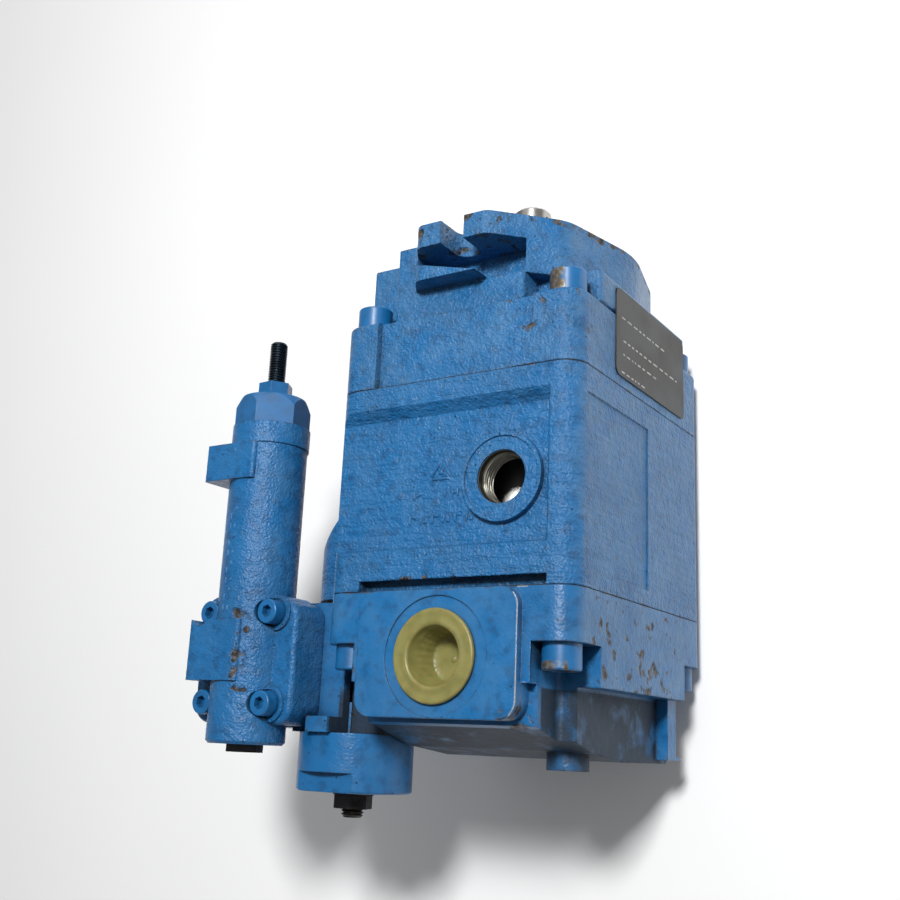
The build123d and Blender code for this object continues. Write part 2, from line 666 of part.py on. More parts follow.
def piston(k):
    x, z = piston_place(k)
    front = PIVOT_Y - PISTON_NECK
    body = rod_y(PISTON_R, front - PISTON_L, front, x, z)
    body = chamfer(body.edges().filter_by(GeomType.CIRCLE).sort_by(Axis.Y)[-1], 2.5)
    body -= rod_y(5.0, front - PISTON_L - 1, front - 22, x, z)
    body += rod_y(3.6, front - 1, PIVOT_Y, x, z)
    return body + Pos(x, PIVOT_Y, z) * Sphere(BALL_R)


def shoe(k):
    x, z = piston_place(k)
    face = PIVOT_Y + YOKE_FACE - FREE_GAP
    body = rod_y(SHOE_R, face - SHOE_FOOT_T, face, x, z)
    body += rod_y(SHOE_NECK_R, PIVOT_Y - 2.6, face - 1, x, z)
    body -= Pos(x, PIVOT_Y, z) * Sphere(BALL_R + SLIP)
    body -= rod_y(5.0, PIVOT_Y - 8, PIVOT_Y - 2, x, z)
    return body - rod_y(1.2, PIVOT_Y, face + 1, x, z)


# --- Yoke and its control --------------------------------------------------------

def yoke():
    face = PIVOT_Y + YOKE_FACE
    back = face + 15
    body = rod_y(BLOCK_R + 1.5, face, back)
    body = chamfer(body.edges().sort_by(Axis.Y)[-1], 6.0)
    lever = block(LEVER_X - LEVER_R, 0, face, back - 3, CONTROL_Z - LEVER_R, CONTROL_Z + LEVER_R)
    lever += rod_y(LEVER_R, PIVOT_Y - LEVER_DROP + 1, back - 3, LEVER_X, CONTROL_Z)
    trim = [(LEVER_X - 8, face), (LEVER_X - 2.5, back), (LEVER_X - 8, back)]
    lever -= slab(trim, (0, 0, 0), (1, 0, 0), (0, 0, 1), CASE_Z)
    body += lever - Pos(LEVER_X, PIVOT_Y - LEVER_DROP, CONTROL_Z) * Sphere(ROD_BALL_R + 1.5)
    horn = block(0, BIAS_X + 8, face, face + 6.5, BIAS_Z - 8, BIAS_Z + 8)
    body += fillet(horn.edges().filter_by(Axis.Y), 3.0)
    cheek_low = BLOCK_R + 1.5
    arm = block(-13, 13, PIVOT_Y - 2, back - 2, cheek_low, TRUNNION_IN - 1)
    arm += rod_z(13, cheek_low, TRUNNION_IN - 1, 0, PIVOT_Y)
    arm += block(-13, 13, face, back - 2, 0, TRUNNION_IN - 1)
    arm += rod_z(TRUNNION_R, TRUNNION_IN - 2, TRUNNION_OUT - 0.5, 0, PIVOT_Y)
    body += mirrored(arm)
    hole = Pos(0, (face + back) / 2, 0) * Rot(X=-90) * Cone(YOKE_BORE_R, 26, back - face + 0.01)
    body -= hole
    return body - rod_y(YOKE_BORE_R, face - 1, face + 1)


def yoke_bearings():
    ring = rod_z(TRUNNION_BEARING_R, TRUNNION_IN, TRUNNION_OUT, 0, PIVOT_Y)
    ring -= rod_z(TRUNNION_R + SLIP, TRUNNION_IN - 1, TRUNNION_OUT + 1, 0, PIVOT_Y)
    return Compound([ring, mirror(ring, Plane.XY)])


def control_rod():
    top = (LEVER_X, PIVOT_Y - LEVER_DROP, CONTROL_Z)
    end = (CONTROL_X, ROD_END_Y, CONTROL_Z)
    rod = rod_between(ROD_R, top, end)
    rod += Pos(*top) * Sphere(ROD_BALL_R)
    return rod + Pos(*end) * Sphere(ROD_BALL_R)


def control_piston():
    body = rod_y(CONTROL_R, ROD_END_Y - 12, ROD_END_Y + 10, CONTROL_X, CONTROL_Z)
    body -= Pos(CONTROL_X, ROD_END_Y, CONTROL_Z) * Sphere(ROD_BALL_R + SLIP)
    cone = Pos(CONTROL_X, ROD_END_Y + 6, CONTROL_Z) * Rot(X=-90) * Cone(5.6, 11, 12)
    return body - cone


def control_cap():
    cap = rod_y(CAP_R, CAP_REAR, CONTROL_BOSS_REAR, CONTROL_X, CONTROL_Z)
    cap = fillet(cap.edges().sort_by(Axis.Y)[0], 1.5)
    flats = block(CONTROL_X - 40, CONTROL_X + 40, CAP_REAR - 1, CAP_REAR + 10,
                  CONTROL_Z + CAP_FLAT, CONTROL_Z + 40)
    flats += block(CONTROL_X - 40, CONTROL_X + 40, CAP_REAR - 1, CAP_REAR + 10,
                   CONTROL_Z - 40, CONTROL_Z - CAP_FLAT)
    cap -= flats
    cap += rod_y(CONTROL_R, CONTROL_BOSS_REAR - 1, CONTROL_BOSS_REAR + 16, CONTROL_X, CONTROL_Z)
    cap -= rod_y(PLUNGER_R + SLIP, CAP_REAR + 12, CONTROL_BOSS_REAR + 17, CONTROL_X, CONTROL_Z)
    return cap - rod_y(STOP_R + SLIP, CAP_REAR - 1, CAP_REAR + 13, CONTROL_X, CONTROL_Z)


def stop_plunger():
    top = CONTROL_BOSS_REAR + 18
    return rod_y(PLUNGER_R, PLUNGER_REAR, top, CONTROL_X, CONTROL_Z)


def stop_screw():
    body = rod_y(STOP_R, CAP_REAR - 13, PLUNGER_REAR, CONTROL_X, CONTROL_Z)
    body = chamfer(body.edges().sort_by(Axis.Y)[0], 1.0)
    return body - hex_y(5, CAP_REAR - 14, CAP_REAR - 7, CONTROL_X, CONTROL_Z)


def stop_washer():
    return ring_y(11, STOP_R + SLIP, CAP_REAR - 1.5, CAP_REAR, CONTROL_X, CONTROL_Z)


def stop_nut():
    nut = hex_y(18, CAP_REAR - 8.5, CAP_REAR - 1.5, CONTROL_X, CONTROL_Z, 12)
    return nut - rod_y(STOP_R + SLIP, CAP_REAR - 9, CAP_REAR, CONTROL_X, CONTROL_Z)


def bias_guide():
    guide = rod_y(BIAS_GUIDE_R, BLOCK_FACE, BIAS_GUIDE_FRONT, BIAS_X, BIAS_Z)
    return guide - rod_y(BIAS_R + SLIP, BLOCK_FACE + 3, BIAS_GUIDE_FRONT + 1, BIAS_X, BIAS_Z)


def bias_piston():
    body = rod_y(BIAS_R, BIAS_REAR, BIAS_CROWN + 6, BIAS_X, BIAS_Z)
    body -= rod_y(8, BIAS_REAR - 1, BIAS_CROWN, BIAS_X, BIAS_Z)
    top = PIVOT_Y + YOKE_FACE - 0.6
    body += rod_y(5, BIAS_CROWN + 5, top - 5, BIAS_X, BIAS_Z)
    return body + Pos(BIAS_X, top - 6, BIAS_Z) * Sphere(6)


def bias_spring():
    return coil_y(6.2, 1.1, BLOCK_FACE + 3, BIAS_CROWN, 9, BIAS_X, BIAS_Z)


# --- Compensator -----------------------------------------------------------------

def compensator_body():
    base = block(COMP_BASE_LEFT, COMP_BASE_RIGHT, COMP_BASE_REAR, COMP_BASE_FRONT,
                 ARM_TOP, COMP_BASE_TOP)
    base = fillet(base.edges().filter_by(Axis.Z), COMP_BASE_CORNER_R)
    base = fillet(base.faces().sort_by(Axis.Z)[-1].edges(), 2.5)
    body = rod_y(COMP_R, COMP_REAR, COMP_FRONT - 11, COMP_X, COMP_Z)
    body += rod_y(COMP_R + 0.8, COMP_FRONT - 12, COMP_FRONT, COMP_X, COMP_Z)
    body = chamfer(body.edges().filter_by(GeomType.CIRCLE).sort_by(Axis.Y)[0], 1.5)
    for y_low, y_high in BRIDGES:
        bridge = block(BRIDGE_LEFT, BRIDGE_RIGHT, y_low, y_high, COMP_Z - 4, BRIDGE_TOP)
        body += fillet(bridge.edges().filter_by(Axis.Y), 2.0)
    for x in (-COMP_SCREW_X, COMP_SCREW_X):
        for y in (COMP_SCREW_FRONT, COMP_SCREW_REAR):
            body += rod_z(9.5, ARM_TOP + 4, COMP_BASE_TOP + 1.5, COMP_X + x, y)
    body += base
    for x in (-COMP_SCREW_X, COMP_SCREW_X):
        for y in (COMP_SCREW_FRONT, COMP_SCREW_REAR):
            seat = COMP_BASE_TOP + 1
            body -= rod_z(COMP_SCREW_HEAD_R + 0.9, seat, BRIDGE_TOP + 5, COMP_X + x, y)
            body -= rod_z(COMP_SCREW_R + HOLE_GAP, ARM_TOP - 1, seat + 1, COMP_X + x, y)
    body -= rod_y(SPRING_CHAMBER_R, SPRING_CHAMBER_REAR, COMP_FRONT + 1, COMP_X, COMP_Z)
    body -= rod_y(13 + SEAT_GAP, COMP_FRONT - 12, COMP_FRONT + 1, COMP_X, COMP_Z)
    body -= block(ARM_LEFT - 1, COMP_BASE_RIGHT + 1, ARM_REAR - 0.1, ARM_FRONT + 0.1,
                  ARM_LOW, ARM_TOP)
    body -= rod_y(SPOOL_R + SLIP, COMP_REAR - 1, SPRING_CHAMBER_REAR + 1, COMP_X, COMP_Z)
    return body - rod_y(8 + SEAT_GAP, COMP_REAR - 1, COMP_REAR + 12, COMP_X, COMP_Z)


def compensator_screws():
    screws = []
    seat = COMP_BASE_TOP + 1
    for x in (-COMP_SCREW_X, COMP_SCREW_X):
        for y in (COMP_SCREW_FRONT, COMP_SCREW_REAR):
            head = rod_z(COMP_SCREW_HEAD_R, seat, seat + COMP_SCREW_HEAD_H, COMP_X + x, y)
            head = fillet(head.edges().sort_by(Axis.Z)[-1], 0.8)
            key = Pos(COMP_X + x, y, seat + 4) * extrude(
                RegularPolygon(3, 6, major_radius=False, rotation=20), 8)
            shank = rod_z(COMP_SCREW_R, seat - COMP_SCREW_GRIP, seat + 0.5, COMP_X + x, y)
            screws.append(head - key + shank)
    return Compound(screws)


def blanking_plugs():
    """The compensator's end plug and the two gallery plugs of the valve block."""
    end = rod_y(8, COMP_REAR, COMP_REAR + 10, COMP_X, COMP_Z)
    end += hex_y(17, COMP_REAR - 4, COMP_REAR, COMP_X, COMP_Z, 10)
    plugs = [end]
    for x in GALLERY_X:
        plug = rod_y(GALLERY_R, BLOCK_REAR + 0.5, BLOCK_REAR + 14, x, GALLERY_Z)
        plugs.append(plug - hex_y(8, BLOCK_REAR, BLOCK_REAR + 7, x, GALLERY_Z))
    return Compound(plugs)


def spring_cap():
    cap = hex_y(SPRING_CAP_AF, COMP_FRONT, SPRING_CAP_FRONT, COMP_X, COMP_Z, SPRING_CAP_TURN)
    cap += rod_y(13, COMP_FRONT - 11, COMP_FRONT + 1, COMP_X, COMP_Z)
    cap -= rod_y(10.5, COMP_FRONT - 12, COMP_FRONT + 8, COMP_X, COMP_Z)
    round_off = Pos(COMP_X, SPRING_CAP_FRONT - 8, COMP_Z) * Rot(X=-90) * Cone(
        SPRING_CAP_AF / 2 + 8, SPRING_CAP_AF / 2 - 0.6, 18)
    cap &= round_off + rod_y(30, COMP_FRONT - 20, SPRING_CAP_FRONT - 10, COMP_X, COMP_Z)
    return cap - rod_y(STUD_R + SLIP, COMP_FRONT, SPRING_CAP_FRONT + 1, COMP_X, COMP_Z)


def adjusting_screw():
    body = rod_y(STUD_R, STUD_REAR, STUD_FRONT, COMP_X, COMP_Z)
    body = chamfer(body.edges().sort_by(Axis.Y)[-1], 1.2)
    return body - hex_y(4, STUD_FRONT - 6, STUD_FRONT + 1, COMP_X, COMP_Z)


def adjuster_washer():
    return ring_y(9.5, STUD_R + SLIP, SPRING_CAP_FRONT, NUT_REAR, COMP_X, COMP_Z)


def adjuster_jam_nut():
    nut = hex_y(NUT_AF, NUT_REAR, NUT_FRONT, COMP_X, COMP_Z, 4)
    return nut - rod_y(STUD_R + SLIP, NUT_REAR - 1, NUT_FRONT + 1, COMP_X, COMP_Z)


def spring_seat():
    seat = rod_y(SPRING_SEAT_R, SPRING_FRONT, STUD_REAR, COMP_X, COMP_Z)
    return seat + rod_y(5.5, SPRING_FRONT - 4, SPRING_FRONT + 1, COMP_X, COMP_Z)


def compensator_spring():
    return coil_y(7.8, 1.5, SPRING_REAR, SPRING_FRONT, 6, COMP_X, COMP_Z)


def compensator_spool():
    spool = rod_y(SPOOL_R, -260, -156, COMP_X, COMP_Z)
    for y in (-240, -220, -190):
        spool -= ring_y(SPOOL_R + 1, SPOOL_R - 1.8, y - 6, y + 6, COMP_X, COMP_Z)
    return spool + rod_y(SPRING_SEAT_R, SPRING_REAR - 5.7, SPRING_REAR, COMP_X, COMP_Z)


def shipping_plug():
    plug = rod_z(PLUG_RIM_R, PAD_Z - 0.8, PAD_Z + 2.2, PORT_X, PORT_Y)
    plug += rod_z(PORT_R - 0.3, PAD_Z - PLUG_DEPTH, PAD_Z, PORT_X, PORT_Y)
    plug = fillet(plug.edges().sort_by(Axis.Z)[-1], 1.2)
    return plug - rod_z(PLUG_RECESS_R, PAD_Z - PLUG_DEPTH + 3, PAD_Z + 3, PORT_X, PORT_Y)


NODES = {
    "front_cover": front_cover,
    "mid_housing": mid_housing,
    "valve_block": valve_block,
    "case_gaskets": case_gaskets,
    "front_bolts": lambda: case_bolts(PLATE_FRONT, 1),
    "rear_bolts": lambda: case_bolts(REAR_SEAT, -1),
    "nameplate": nameplate,
    "shaft": shaft,
    "shaft_seal": shaft_seal,
    "front_bearing_cup": front_bearing_cup,
    "front_bearing_cone": front_bearing_cone,
    "rear_needle_bearing": rear_needle_bearing,
    "valve_plate": valve_plate,
    "cylinder_block": cylinder_block,
    "block_spring": block_spring,
    "retainer_guide": retainer_guide,
    "retainer_plate": retainer_plate,
    "yoke": yoke,
    "yoke_bearings": yoke_bearings,
    "control_rod": control_rod,
    "control_piston": control_piston,
    "control_cap": control_cap,
    "stop_plunger": stop_plunger,
    "stop_screw": stop_screw,
    "stop_washer": stop_washer,
    "stop_nut": stop_nut,
    "bias_guide": bias_guide,
    "bias_piston": bias_piston,
    "bias_spring": bias_spring,
    "compensator_body": compensator_body,
    "compensator_screws": compensator_screws,
    "blanking_plugs": blanking_plugs,
    "spring_cap": spring_cap,
    "adjusting_screw": adjusting_screw,
    "adjuster_washer": adjuster_washer,
    "adjuster_jam_nut": adjuster_jam_nut,
    "spring_seat": spring_seat,
    "compensator_spring": compensator_spring,
    "compensator_spool": compensator_spool,
    "shipping_plug": shipping_plug,
}

os.makedirs("parts", exist_ok=True)
for name, make in NODES.items():
    export_step(make(), f"parts/{name}.step")
for k in range(PISTONS):
    export_step(piston(k), f"parts/piston_{k + 1}.step")
    export_step(shoe(k), f"parts/shoe_{k + 1}.step")
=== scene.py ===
"""Axial piston pump: finishes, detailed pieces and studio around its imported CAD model."""

import bmesh
import bpy
import numpy as np
from bpy.props import FloatProperty, FloatVectorProperty, IntProperty, PointerProperty
from mathutils import Matrix, Vector


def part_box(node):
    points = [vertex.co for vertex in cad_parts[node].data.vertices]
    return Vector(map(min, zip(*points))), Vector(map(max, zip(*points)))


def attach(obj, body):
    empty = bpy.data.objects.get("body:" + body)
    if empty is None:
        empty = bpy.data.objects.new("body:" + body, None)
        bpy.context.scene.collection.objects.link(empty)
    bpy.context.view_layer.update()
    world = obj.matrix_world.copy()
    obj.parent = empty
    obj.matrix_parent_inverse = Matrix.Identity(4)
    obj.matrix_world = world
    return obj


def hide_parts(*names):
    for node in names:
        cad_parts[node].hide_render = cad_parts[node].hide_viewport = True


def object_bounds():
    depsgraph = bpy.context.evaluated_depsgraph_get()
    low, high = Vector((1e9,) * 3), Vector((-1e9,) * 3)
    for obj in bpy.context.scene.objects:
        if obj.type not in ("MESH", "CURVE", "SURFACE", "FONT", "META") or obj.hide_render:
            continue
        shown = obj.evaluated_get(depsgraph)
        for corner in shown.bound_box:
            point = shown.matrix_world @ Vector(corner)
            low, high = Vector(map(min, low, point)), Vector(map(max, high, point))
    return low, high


bl_info = {
    "name": "Axial piston pump",
    "version": (1, 0, 0),
    "blender": (4, 5, 0),
    "location": "3D View > Sidebar > Pump",
    "description": "Finishes, threads, plug, plate and studio for an axial piston pump",
    "category": "Object",
}

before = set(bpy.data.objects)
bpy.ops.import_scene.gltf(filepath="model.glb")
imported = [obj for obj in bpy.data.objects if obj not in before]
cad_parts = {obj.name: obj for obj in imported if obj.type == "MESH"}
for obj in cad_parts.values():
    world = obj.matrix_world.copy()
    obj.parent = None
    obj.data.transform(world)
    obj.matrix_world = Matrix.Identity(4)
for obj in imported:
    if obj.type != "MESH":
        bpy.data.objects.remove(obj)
CAD_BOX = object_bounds()
MM = 0.001
AO_SAMPLES = 6            # rays for each look at edges and corners
SAND_MM = 1.3             # spacing of the cast surface's finest grain
CAST_EDGE_MM = 0.8        # how far shading softens a cast edge
TURNED_EDGE_MM = 0.25     # and a turned one
DRAIN_FACE = 81.2         # top of the case drain's wall, and of the lower port's
LOWER_FACE = -87.2
MARKS_FACE = 78.4         # housing panel that carries the cast marks

# Places on the pump, in millimetres of the row frame.
COMP_AXIS = (-123.0, 78.0)
CONTROL_AXIS = (-79.0, 38.0)
DRAIN_AXIS = (30.7, -142.0)
PORT_AXIS = (1.0, -229.0)


def linear(code):
    """Turns an sRGB hex code into linear red, green, blue and alpha."""
    values = np.array([int(code[k:k + 2], 16) for k in (1, 3, 5)]) / 255.0
    low = values / 12.92
    high = ((values + 0.055) / 1.055) ** 2.4
    return (*np.where(values <= 0.04045, low, high).tolist(), 1.0)


# --- Node and mesh helpers ---------------------------------------------------------

def add(tree, kind, inputs=None, **settings):
    """Adds one node: settings are its properties, inputs are its sockets' values or links."""
    node = tree.nodes.new(kind)
    for name, value in settings.items():
        setattr(node, name, value)
    for key, value in (inputs or {}).items():
        if isinstance(value, bpy.types.NodeSocket):
            tree.links.new(value, node.inputs[key])
        else:
            node.inputs[key].default_value = value
    return node


def blank_material(name, **values):
    """A new material with one principled shader; values are set on the shader's own sockets."""
    material = bpy.data.materials.new(name)
    material.use_nodes = True
    tree = material.node_tree
    tree.nodes.clear()
    shader = add(tree, "ShaderNodeBsdfPrincipled")
    for socket, value in values.items():
        shader.inputs[socket.replace("_", " ")].default_value = value
    add(tree, "ShaderNodeOutputMaterial", {"Surface": shader.outputs[0]})
    place = add(tree, "ShaderNodeTexCoord")
    return material, tree, shader, place.outputs["Object"]


def grain(tree, place, size_mm, detail=2.0, stretch=None):
    """Soft random pattern whose lumps are size_mm apart, longer along stretch."""
    if stretch is not None:
        place = add(tree, "ShaderNodeMapping", {"Vector": place, "Scale": stretch}).outputs[0]
    settings = {"Vector": place, "Scale": 1000.0 / size_mm, "Detail": detail}
    return add(tree, "ShaderNodeTexNoise", settings).outputs["Fac"]


def fade(tree, value, low, high):
    """Smooth step of a value: 0 below low, 1 above high; the other way round if low > high."""
    flip = low > high
    ends = {"Value": value, "From Min": min(low, high), "From Max": max(low, high),
            "To Min": float(flip), "To Max": float(not flip)}
    return add(tree, "ShaderNodeMapRange", ends, interpolation_type="SMOOTHSTEP").outputs[0]


def combine(tree, operation, first, second):
    return add(tree, "ShaderNodeMath", {0: first, 1: second}, operation=operation).outputs[0]


def tint(tree, factor, first, second):
    """Mixes two colours by a factor."""
    return add(tree, "ShaderNodeMix", {0: factor, 6: first, 7: second}, data_type="RGBA").outputs[2]


def inside_box(tree, place, low, high, soft):
    """1 inside a box given in millimetres, falling to 0 over soft millimetres outside it."""
    middle = [(a + b) / 2 * MM for a, b in zip(low, high)]
    half = [(b - a) / 2 * MM for a, b in zip(low, high)]
    away = add(tree, "ShaderNodeVectorMath", {0: place, 1: middle}, operation="SUBTRACT")
    away = add(tree, "ShaderNodeVectorMath", {0: away.outputs[0]}, operation="ABSOLUTE")
    away = add(tree, "ShaderNodeVectorMath", {0: away.outputs[0], 1: half}, operation="SUBTRACT")
    parts = add(tree, "ShaderNodeSeparateXYZ", {0: away.outputs[0]}).outputs
    furthest = combine(tree, "MAXIMUM", combine(tree, "MAXIMUM", parts[0], parts[1]), parts[2])
    return fade(tree, furthest, soft * MM, 0.0)


def convex_edges(tree, reach_mm):
    """About 1 on outer edges and 0 on open faces, from how thin the body is just there."""
    settings = {"Distance": reach_mm * MM}
    look = add(tree, "ShaderNodeAmbientOcclusion", settings, inside=True, only_local=True,
               samples=AO_SAMPLES)
    return fade(tree, look.outputs["AO"], 0.8, 0.3)


def corners(tree, reach_mm):
    """About 1 in inner corners and between close pieces, 0 on open faces: a mask for painted shade.
    """
    look = add(tree, "ShaderNodeAmbientOcclusion", {"Distance": reach_mm * MM},
               samples=AO_SAMPLES)
    return fade(tree, look.outputs["AO"], 0.75, 0.2)


def bump(tree, height, depth_mm, edge_mm=0.0):
    """Normal for a height pattern of the given depth, on edges softened by edge_mm."""
    settings = {"Height": height, "Distance": depth_mm * MM, "Strength": 1.0}
    if edge_mm > 0.0:
        edge = add(tree, "ShaderNodeBevel", {"Radius": edge_mm * MM}, samples=4)
        settings["Normal"] = edge.outputs[0]
    return add(tree, "ShaderNodeBump", settings).outputs[0]


def connect(tree, shader, **sources):
    for name, source in sources.items():
        tree.links.new(source, shader.inputs[name.replace("_", " ")])


def surface(points, wrap_rows=False):
    """Quads between neighbouring rows of points; columns run round, rows may too."""
    rows, columns = points.shape[:2]
    index = np.arange(rows * columns).reshape(rows, columns)
    if wrap_rows:
        index = np.vstack([index, index[:1]])
    after = np.roll(index, -1, axis=1)
    return np.stack([index[:-1], after[:-1], after[1:], index[1:]], axis=-1).reshape(-1, 4)


def piece(name, points, faces, material, body, replaces=()):
    """Makes an object of the points (millimetres) and faces, merged and turned outwards."""
    mesh = bpy.data.meshes.new(name)
    mesh.from_pydata((points.reshape(-1, 3) * MM).tolist(), [], faces.tolist())
    shape = bmesh.new()
    shape.from_mesh(mesh)
    bmesh.ops.remove_doubles(shape, verts=shape.verts, dist=1e-7)
    bmesh.ops.dissolve_degenerate(shape, edges=shape.edges, dist=1e-8)
    bmesh.ops.recalc_face_normals(shape, faces=shape.faces)
    shape.to_mesh(mesh)
    shape.free()
    mesh.materials.append(material)
    obj = bpy.data.objects.new(name, mesh)
    bpy.context.scene.collection.objects.link(obj)
    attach(obj, body)
    if replaces:
        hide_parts(*replaces)
    return obj


def smooth(obj, angle_deg):
    """Shades the mesh smooth, with edges sharper than the angle kept crisp."""
    mesh = obj.data
    mesh.shade_smooth()
    mesh.set_sharp_from_angle(angle=np.radians(angle_deg))


def revolve(profile, centre, axis, columns=96):
    """A profile of (radius, height) carried round an axis: radius times cosine and sine."""
    profile = np.asarray(profile, float)
    turn = np.linspace(0, 2 * np.pi, columns, endpoint=False)
    across = profile[:, :1] * np.cos(turn)
    over = profile[:, :1] * np.sin(turn)
    along = np.repeat(profile[:, 1:], columns, axis=1)
    return placed(across, over, along, centre, axis)


def placed(across, over, along, centre, axis):
    """Joins three coordinate arrays into points about a centre line along Y or Z."""
    if axis == "Y":
        return np.stack([centre[0] + across, along, centre[1] + over], axis=-1)
    return np.stack([centre[0] + across, centre[1] + over, along], axis=-1)


def thread_depth(height, turn, pitch, depth):
    """Depth of a 60 degree thread below its crest: a triangle wave that climbs one pitch a
    turn, clipped flat at crest and root."""
    phase = np.mod(height / pitch - turn / (2 * np.pi), 1.0)
    wave = 1.0 - np.abs(2.0 * phase - 1.0)
    return depth * np.clip((wave - 0.12) / 0.72, 0.0, 1.0)


# --- Materials: paint ----------------------------------------------------------------

def cast_enamel(name, colour, rough_mm, dust=0.08, chips=0.5, patches=(), bright_edges=(),
                machined=(), grease_and_shade=(), marks=False):
    """Semi-gloss machine enamel sprayed over sand-cast iron: the sand's grain shows through
    the gloss as sparkle, edges are chipped to primer and iron, and inner corners get painted shade."""
    material, tree, shader, place = blank_material(
        name, Specular_IOR_Level=0.42, IOR=1.45)
    fine = grain(tree, place, SAND_MM, 3.0)
    broad = grain(tree, place, 38.0, 3.0)
    height = combine(tree, "ADD", fine, combine(tree, "MULTIPLY", grain(tree, place, 4.5), 1.4))
    deep = linear("#08355c")
    paint = tint(tree, fade(tree, broad, 0.35, 0.7), (*colour, 1.0),
                 tuple(0.8 * c + 0.2 * d for c, d in zip((*colour, 1.0), deep)))
    blotch = combine(tree, "MULTIPLY", fade(tree, grain(tree, place, 6.0, 6.0), 0.48, 0.7), 0.45)
    paint = tint(tree, blotch, paint, deep)
    # A grey film of dust, and a painted sheen that lightens faces looking towards +X further.
    facing = add(tree, "ShaderNodeSeparateXYZ", {0: tree.nodes["Texture Coordinate"].outputs[1]})
    side = fade(tree, facing.outputs[0], 0.55, 0.95)
    film = combine(tree, "ADD", dust, combine(tree, "MULTIPLY", side, 0.1))
    film = combine(tree, "MULTIPLY", film, fade(tree, grain(tree, place, 14.0, 4.0), 0.2, 0.75))
    paint = tint(tree, film, paint, linear("#7f9fb2"))
    # Pinholes and grit, about 1 mm across and 6 mm apart.
    cells = add(tree, "ShaderNodeTexVoronoi", {"Vector": place, "Scale": 165.0})
    pits = combine(tree, "MULTIPLY", fade(tree, cells.outputs["Distance"], 0.12, 0.06),
                   fade(tree, grain(tree, place, 9.0), 0.44, 0.5))
    paint = tint(tree, combine(tree, "MULTIPLY", pits, 0.9), paint, linear("#15222f"))
    # Painted shade in the inner corners, broken up by a broad noise.
    enamel_corner_shade = combine(tree, "MULTIPLY", corners(tree, 9.0), fade(tree, broad, 0.2, 0.55))
    paint = tint(tree, combine(tree, "MULTIPLY", enamel_corner_shade, 0.8), paint, linear("#14202b"))
    # Chipped edges and rubbed patches.
    worn = combine(tree, "MULTIPLY", convex_edges(tree, 1.8),
                   fade(tree, grain(tree, place, 11.0, 4.0), 0.68 - 0.2 * chips,
                        0.72 - 0.2 * chips))
    for low, high, amount in patches:
        rub = combine(tree, "MULTIPLY", inside_box(tree, place, low, high, 6.0), amount)
        broken = fade(tree, combine(tree, "ADD", rub, grain(tree, place, 7.0, 6.0)), 1.0, 1.12)
        worn = combine(tree, "MAXIMUM", worn, broken)
    bare = tint(tree, fade(tree, grain(tree, place, 3.0, 4.0), 0.4, 0.62),
                linear("#2c2621"), linear("#5f584e"))
    colour_out = tint(tree, worn, paint, bare)
    metal = combine(tree, "MULTIPLY", worn, 0.35)
    for low, high in bright_edges:
        zone = combine(tree, "MULTIPLY", inside_box(tree, place, low, high, 1.0),
                       convex_edges(tree, 1.6))
        zone = fade(tree, combine(tree, "MULTIPLY", zone, fade(tree, grain(tree, place, 3.0, 5.0),
                                                               0.25, 0.5)), 0.15, 0.4)
        colour_out = tint(tree, zone, colour_out, linear("#d8d8d2"))
        metal = combine(tree, "MAXIMUM", metal, combine(tree, "MULTIPLY", zone, 0.5))
    height = combine(tree, "SUBTRACT", height, combine(tree, "MULTIPLY", worn, 0.8))
    gloss = combine(tree, "ADD", 0.24, combine(tree, "MULTIPLY", broad, 0.18))
    gloss = combine(tree, "ADD", gloss, combine(tree, "MULTIPLY", worn, 0.2))
    # Painted shade and a dull dark film in the given boxes: darker and rougher there.
    for low, high in grease_and_shade:
        film = combine(tree, "MULTIPLY", inside_box(tree, place, low, high, 1.5),
                       fade(tree, grain(tree, place, 16.0, 5.0), 0.22, 0.5))
        colour_out = tint(tree, combine(tree, "MULTIPLY", film, 0.88), colour_out,
                          linear("#22262a"))
        gloss = combine(tree, "ADD", gloss, combine(tree, "MULTIPLY", film, 0.3))
    for low, high in machined:
        turned = inside_box(tree, place, low, high, 0.2)
        colour_out = tint(tree, turned, colour_out, linear("#b4b2ac"))
        metal = combine(tree, "MAXIMUM", metal, combine(tree, "MULTIPLY", turned, 0.8))
        height = tint(tree, turned, height, combine(tree, "MULTIPLY", height, 0.08))
    if marks:
        # Slanted rubbing marks, about 3 mm apart.
        lines = grain(tree, place, 26.0, 3.0, stretch=(1.0, 9.0, 1.0))
        height = combine(tree, "ADD", height, combine(tree, "MULTIPLY", lines, 1.2))
    connect(tree, shader, Base_Color=colour_out, Roughness=gloss, Metallic=metal,
            Normal=bump(tree, height, rough_mm, CAST_EDGE_MM))
    return material


